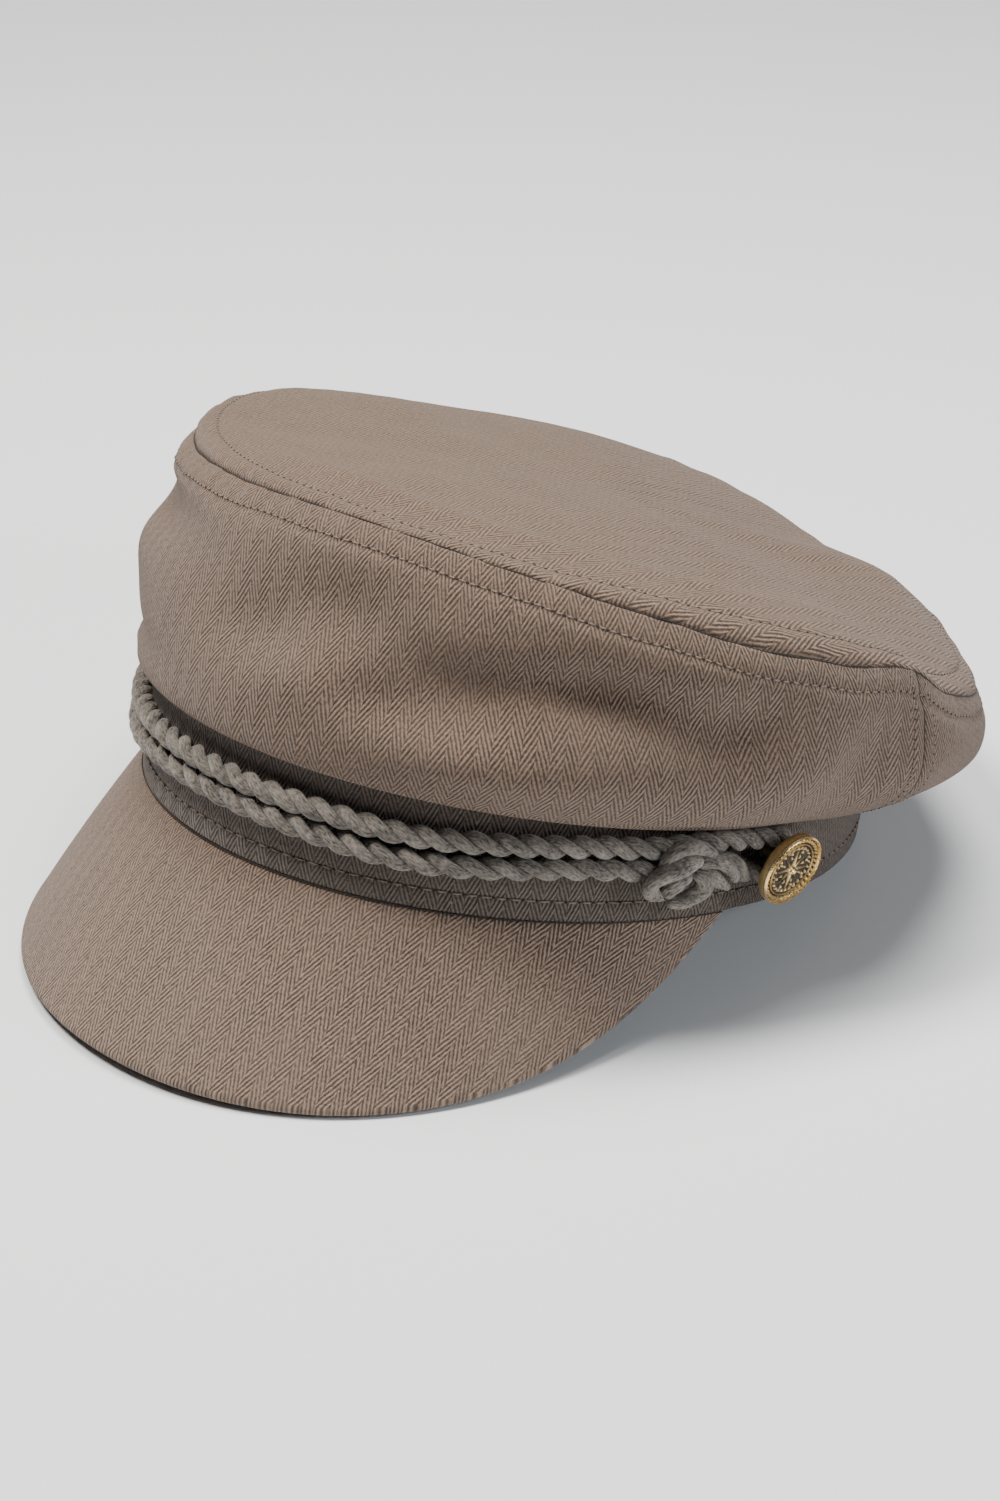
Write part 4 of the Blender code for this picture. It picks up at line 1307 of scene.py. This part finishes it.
# %% Tie the knots
KNOT_PLACE_DEG = 70.3
KNOT_PLACE_HEIGHT = 0.0145
KNOT_STEP = 0.0006
PLY_PITCH = 0.030
PLY_SHARE = 0.80
PLY_TURN = 0.00052
KNOT_COLUMNS = "back up out thick"
KNOT_TURNS = {
    "arch": table(
        KNOT_COLUMNS,
        (-2.5, 0.0, 4.5, 3.0),
        (-2.5, 3.9, 6.0, 3.4),
        (0.1, 6.5, 6.5, 3.5),
        (4.0, 6.8, 6.5, 3.5),
        (8.0, 5.4, 6.0, 3.4),
        (12.1, 2.5, 4.5, 3.0),
    ),
    "fat turn": table(
        KNOT_COLUMNS,
        (6.8, 2.7, 5.5, 3.8),
        (1.3, 2.5, 7.5, 4.6),
        (-3.2, 1.2, 8.0, 4.9),
        (-5.8, -1.2, 7.2, 4.6),
        (-5.0, -4.5, 5.6, 3.8),
        (-1.4, -6.8, 4.2, 3.0),
    ),
    "inner turn": table(
        KNOT_COLUMNS,
        (4.1, -0.2, 6.5, 3.8),
        (1.1, -1.9, 7.0, 4.0),
        (-0.6, -3.9, 6.0, 3.8),
        (-0.8, -6.0, 4.8, 3.4),
    ),
    "tail": table(
        KNOT_COLUMNS,
        (5.9, 0.5, 5.5, 3.6),
        (8.7, -1.8, 6.5, 4.2),
        (8.9, -4.6, 6.0, 4.4),
        (6.7, -6.6, 5.2, 4.2),
        (4.2, -8.2, 4.4, 3.8),
        (1.1, -8.6, 3.4, 3.0),
    ),
    "towards the button": table(
        KNOT_COLUMNS,
        (6.2, 2.1, 5.5, 3.0),
        (8.9, 2.8, 6.5, 3.3),
        (12.2, 2.3, 6.8, 3.4),
        (15.7, -0.2, 6.2, 3.4),
        (18.7, -3.4, 5.0, 3.0),
    ),
    "under it": table(
        KNOT_COLUMNS,
        (7.3, 0.0, 6.0, 2.8),
        (10.4, -1.2, 6.3, 3.0),
        (14.2, -3.9, 5.4, 2.8),
        (17.2, -5.8, 4.4, 2.4),
    ),
}


def knot_turn(rows, side):
    """One turn of the knot: two plies twisted softly together."""
    middle = math.radians(KNOT_PLACE_DEG)
    places = []
    for row in rows:
        angle = middle + row["back"] / 1000 / band_step(middle)
        places.append(on_band(side * angle, KNOT_PLACE_HEIGHT + row["up"] / 1000, row["out"] / 1000))
    line = smooth_line(places, KNOT_STEP)
    share = np.linspace(0.0, 1.0, len(line))
    given = np.linspace(0.0, 1.0, len(rows))
    thick = np.interp(share, given, [row["thick"] / 1000 for row in rows])
    return laid_strands(line, PLY_PITCH, 0.5, thick * PLY_SHARE, PLY_TURN)


knot_pieces = []
for word, side in (("left", 1), ("right", -1)):
    tubes = []
    for rows in KNOT_TURNS.values():
        tubes += knot_turn(rows, side)
    piece = add_piece(f"knot_{word}_yarn", tubes_mesh(f"knot_{word}_yarn", tubes), cord_yarn)
    dress(piece, "cord_yarn", f"knot_{word}")
    knot_pieces.append(piece)

# %% [markdown]
# ### Loose hairs
# Soft cotton cord has a haze of short hairs, which softens its outline. A tree scatters points on
# the strands with a fixed seed, and stands a thin bent hair on each, leaning at random.

# %% Grow the hairs
def make_hair_tree():
    tree, names = new_tree("hairs", ["Density", "Length", "Thickness", "Material"])
    given = tree.nodes.new("NodeGroupInput").outputs
    spots = add_node(tree, "GeometryNodeDistributePointsOnFaces",
                     {"Mesh": given["Geometry"], "Density": given["Density"], "Seed": 11})
    tip = add_node(tree, "ShaderNodeCombineXYZ", {"X": given["Length"], "Z": given["Length"]})
    middle = add_node(tree, "ShaderNodeCombineXYZ", {"Z": given["Length"]})
    hair = add_node(tree, "GeometryNodeCurveQuadraticBezier",
                    {"Resolution": 3, "Start": (0.0, 0.0, 0.0), "Middle": middle.outputs[0],
                     "End": tip.outputs[0]})
    outline = add_node(tree, "GeometryNodeCurvePrimitiveCircle", {"Resolution": 3})
    tree.links.new(calc(tree, "MULTIPLY", given["Thickness"], 0.5), outline.inputs["Radius"])
    solid = add_node(tree, "GeometryNodeCurveToMesh",
                     {"Curve": hair.outputs[0], "Profile Curve": outline.outputs[0]})
    lean = add_node(tree, "FunctionNodeRandomValue",
                    {"Min": (-1.0, -1.0, -3.14), "Max": (1.0, 1.0, 3.14), "Seed": 3},
                    data_type="FLOAT_VECTOR")
    leaning = add_node(tree, "FunctionNodeEulerToRotation", {"Euler": lean.outputs[0]})
    turned = add_node(tree, "FunctionNodeRotateRotation",
                      {"Rotation": spots.outputs["Rotation"], "Rotate By": leaning.outputs[0]},
                      rotation_space="LOCAL")
    size = add_node(tree, "FunctionNodeRandomValue",
                    {"Min": (0.35, 0.35, 0.35), "Max": (1.0, 1.0, 1.0), "Seed": 8},
                    data_type="FLOAT_VECTOR")
    place_forms(tree, spots.outputs["Points"], solid.outputs[0], turned.outputs[0],
                size.outputs[0], given["Material"])
    return tree, names


HAIRS, HAIR_NAMES = make_hair_tree()
HAIR_SIZES = {"Density": 620000.0, "Length": 0.0008, "Thickness": 0.00004}
for piece in (*cord_pieces, *knot_pieces):
    hairs = add_piece(piece.name.replace("_yarn", "_hairs"), piece.data.copy())
    run_tree(hairs, HAIRS, HAIR_NAMES, HAIR_SIZES, fuzz_yarn)
    dress(hairs, "cord_yarn")

# %% [markdown]
# ## The buttons
# Each button is a struck metal shank button in antique gold: a bright rounded rim, a ring of cut
# notches, a fine raised ring, and a dark sunk face with a plain eight-pointed compass star. The
# face is a surface of heights over a disc, so that every notch and ridge is real relief. The
# heights are also stored on the mesh as an attribute, so that the metal can be dark in its hollows
# and bright on its edges.

# %% Antique gold
def antique_gold():
    material, tree, shader = start_material("button_metal", 0.3)
    spot = tree.nodes.new("ShaderNodeTexCoord").outputs["Object"]
    mottle = cloud(tree, spot, 1400.0, 4.0)
    hollow = tree.nodes.new("ShaderNodeAttribute")
    hollow.attribute_name = "hollow"
    dark = calc(tree, "ADD", calc(tree, "MULTIPLY", hollow.outputs["Fac"], 1.15),
                calc(tree, "MULTIPLY", calc(tree, "SUBTRACT", mottle, 0.5), 0.5))
    node = tree.nodes.new("ShaderNodeClamp")
    tree.links.new(dark, node.inputs["Value"])
    dark = node.outputs[0]
    colour = blend_colour(tree, dark, (0.960, 0.700, 0.330), (0.050, 0.038, 0.026))
    tree.links.new(colour, shader.inputs["Base Color"])
    tree.links.new(calc(tree, "SUBTRACT", 1.0, calc(tree, "MULTIPLY", dark, 0.55)),
                   shader.inputs["Metallic"])
    tree.links.new(calc(tree, "ADD", calc(tree, "MULTIPLY", dark, 0.30), 0.26),
                   shader.inputs["Roughness"])
    add_bump(tree, shader, mottle, 0.00016)
    return material


button_metal = antique_gold()

# %% The relief of a button
RIM_NOTCHES = 40
STAR_POINTS = 8
WREATH_LEAVES = 26
BUTTON_COLUMNS = RIM_NOTCHES * 6
FACE_HEIGHT = 0.58
RAY_HIGH = 0.30
RAYS = table(
    "share turned tip waist",
    (1.0, 0.0, 0.56, 0.110),
    (0.8, math.pi / 4, 0.47, 0.095),
)
BOSS_WIDE = 0.105
BOSS_HIGH = 0.26
SEEDS = table(
    "at long wide high",
    (0.53, 1.0, 0.060, 0.24),
    (0.38, 1.9, 0.044, 0.22),
)
FACE_BANDS = table(
    "at wide high cuts slant slant_from",
    (0.635, 0.050, 0.26, WREATH_LEAVES, 30.0, 0.6),
    (0.745, 0.018, 0.24, 0, 0.0, 0.0),
    (0.860, 0.050, 0.36, RIM_NOTCHES, 26.0, 0.83),
    (0.965, 0.028, 0.42, 0, 0.0, 0.0),
)
HOLLOW_BELOW = 0.84
HOLLOW_SHARPNESS = 4.6
BUTTON_RINGS = [0.0, 0.03, 0.06, 0.09, 0.12, 0.15, 0.18, 0.21, 0.24, 0.27, 0.30, 0.33, 0.36, 0.39,
                0.42, 0.45, 0.48, 0.51, 0.54, 0.57, 0.60, 0.63, 0.66, 0.685, 0.70, 0.715, 0.73,
                0.745, 0.76, 0.775, 0.79, 0.805, 0.82, 0.84, 0.86, 0.88, 0.90, 0.915, 0.93, 0.945,
                0.96, 0.975, 0.985, 0.993, 1.0]


def ray_height(reach, turn, count, tip, waist):
    """Height share of a pointed star: ridges that narrow and sink towards their tips."""
    sector = 2 * math.pi / count
    away = abs((turn + sector / 2) % sector - sector / 2)
    if reach >= tip:
        return 0.0
    half_width = waist * (1.0 - reach / tip) + 0.004
    beside = reach * math.sin(away)
    return max(0.0, 1.0 - beside / half_width) * (1.0 - 0.35 * reach / tip)


def button_height(reach, turn):
    """Height of the button's face, as a share of its depth."""
    height = FACE_HEIGHT
    height += RAY_HIGH * max(
        row["share"] * ray_height(reach, turn + row["turned"], STAR_POINTS // 2, row["tip"], row["waist"])
        for row in RAYS)
    if reach < BOSS_WIDE:
        height += BOSS_HIGH * math.sqrt(1.0 - (reach / BOSS_WIDE) ** 2)
    sector = 2 * math.pi / STAR_POINTS
    away = abs((turn + sector) % sector - sector / 2)
    for row in SEEDS:
        gap = math.hypot((reach - row["at"]) / row["long"], row["at"] * away)
        height += row["high"] * max(0.0, 1.0 - (gap / row["wide"]) ** 2)
    for row in FACE_BANDS:
        cut = 0.5 + 0.5 * math.cos(row["cuts"] * turn + row["slant"] * (reach - row["slant_from"]))
        height += row["high"] * cut * bump(reach, row["at"], row["wide"])
    return height


def make_button(name, side):
    angle = math.radians(BUTTON_DEG) * side
    face = outward(angle)
    axis = face * math.cos(BUTTON_NOD) - Vector((0.0, 0.0, math.sin(BUTTON_NOD)))
    across = Vector((0.0, 0.0, 1.0)).cross(axis).normalized()
    place = Matrix((across, axis.cross(across), axis)).transposed().to_4x4()
    place.translation = on_band(angle, BUTTON_HEIGHT, BUTTON_OUT)
    radius = BUTTON_DIAMETER / 2
    shank_lift = GAP + BUTTON_SHANK / 2 * math.sin(BUTTON_NOD)
    shank = (BUTTON_OUT - shank_lift) / math.cos(BUTTON_NOD)
    outside = [(1.0, 0.62), (0.998, 0.45), (0.985, 0.22), (0.96, 0.08), (0.92, 0.0)]
    below = [(radius * reach, BUTTON_DEPTH * high) for reach, high in outside]
    below += [(BUTTON_SHANK * 0.75, 0.0), (BUTTON_SHANK / 2, -0.0006),
              (BUTTON_SHANK / 2, -shank * 0.98), (BUTTON_SHANK * 0.44, -shank)]
    build = bmesh.new()
    layer = build.verts.layers.float.new("hollow")
    grid = []
    turns = [2 * math.pi * step / BUTTON_COLUMNS for step in range(BUTTON_COLUMNS)]
    for reach in BUTTON_RINGS:
        row = []
        for turn in turns:
            share = button_height(reach, turn)
            high = BUTTON_DEPTH * (share if reach < 0.99 else 0.80)
            spot = build.verts.new((radius * reach * math.cos(turn), radius * reach * math.sin(turn), high))
            spot[layer] = max(0.0, min(1.0, (HOLLOW_BELOW - share) * HOLLOW_SHARPNESS))
            row.append(spot)
        grid.append(row)
    for across_by, high in below:
        row = []
        for turn in turns:
            spot = build.verts.new((across_by * math.cos(turn), across_by * math.sin(turn), high))
            spot[layer] = 0.15 if high > 0.0 else 0.6
            row.append(spot)
        grid.append(row)
    for inner, outer in zip(grid, grid[1:]):
        for step in range(BUTTON_COLUMNS):
            after = (step + 1) % BUTTON_COLUMNS
            build.faces.new((inner[step], outer[step], outer[after], inner[after]))
    build.faces.new(list(reversed(grid[-1])))
    bmesh.ops.remove_doubles(build, verts=build.verts, dist=1e-7)
    bmesh.ops.recalc_face_normals(build, faces=build.faces)
    for part in build.faces:
        part.smooth = True
    bmesh.ops.transform(build, matrix=AT_REST @ place, verts=build.verts)
    mesh = bpy.data.meshes.new(name)
    build.to_mesh(mesh)
    build.free()
    mesh.set_sharp_from_angle(angle=math.radians(50))
    return add_piece(name, mesh, button_metal)


for word, side in (("left", 1), ("right", -1)):
    dress(make_button(f"button_{word}_struck", side), "button_metal", f"button_{word}")

# %% [markdown]
# ## Floor, light and camera
# The cap stands on a plain pale floor, wide enough that its edge stays out of the picture. Two soft
# lights hang above, the stronger one to the left of the picture, and a weak one comes from the
# right. The camera stands a little above the cap, off the wearer's left front.

# %% Floor
FLOOR_HALF = 6.0


def make_floor():
    material, tree, shader = start_material("pale_floor", 0.9)
    shader.inputs["Base Color"].default_value = (0.80, 0.83, 0.86, 1.0)
    shader.inputs["Specular IOR Level"].default_value = 0.1
    mesh = bpy.data.meshes.new("floor")
    corners = [(FLOOR_HALF * x, FLOOR_HALF * y, 0) for x, y in ((-1, -1), (1, -1), (1, 1), (-1, 1))]
    mesh.from_pydata(corners, [], [(0, 1, 2, 3)])
    floor = add_piece("floor", mesh, material)


make_floor()

# %% Light
LIGHTS = table(
    "name place size power colour",
    ("key", (-0.28, -0.40, 1.28), 0.45, 25.0, (1.0, 0.955, 0.900)),
    ("above", (0.00, 0.25, 1.35), 0.7, 23.0, (1.0, 0.965, 0.920)),
    ("side", (1.15, 0.42, 0.60), 0.5, 8.0, (0.94, 0.97, 1.0)),
)


def add_light(name, place, size, power, colour):
    lamp = bpy.data.lights.new(name, "AREA")
    lamp.shape = "DISK"
    lamp.size = size
    lamp.energy = power
    lamp.color = colour
    thing = bpy.data.objects.new(name, lamp)
    bpy.context.scene.collection.objects.link(thing)
    thing.location = place
    aim = Vector((0.0, 0.0, 0.05)) - Vector(place)
    thing.rotation_euler = aim.to_track_quat("-Z", "Y").to_euler()


for row in LIGHTS:
    add_light(**row)
world = bpy.data.worlds.new("studio")
world.use_nodes = True
background = world.node_tree.nodes["Background"].inputs
background["Color"].default_value = (0.90, 0.95, 1.0, 1.0)
background["Strength"].default_value = 0.06
bpy.context.scene.world = world

# %% Camera
CAMERA_PLACE = (0.53175, -0.53054, 0.44609)
CAMERA_TURN_DEG = 44.89
CAMERA_ABOVE_DEG = 28.80
lens = bpy.data.cameras.new("photo_view")
lens.lens = 80.0
lens.sensor_width = 36.0
lens.dof.use_dof = False
camera = bpy.data.objects.new("photo_view", lens)
bpy.context.scene.collection.objects.link(camera)
camera.location = CAMERA_PLACE
camera.rotation_euler = (math.radians(90.0 - CAMERA_ABOVE_DEG), 0.0, math.radians(CAMERA_TURN_DEG))
bpy.context.scene.camera = camera
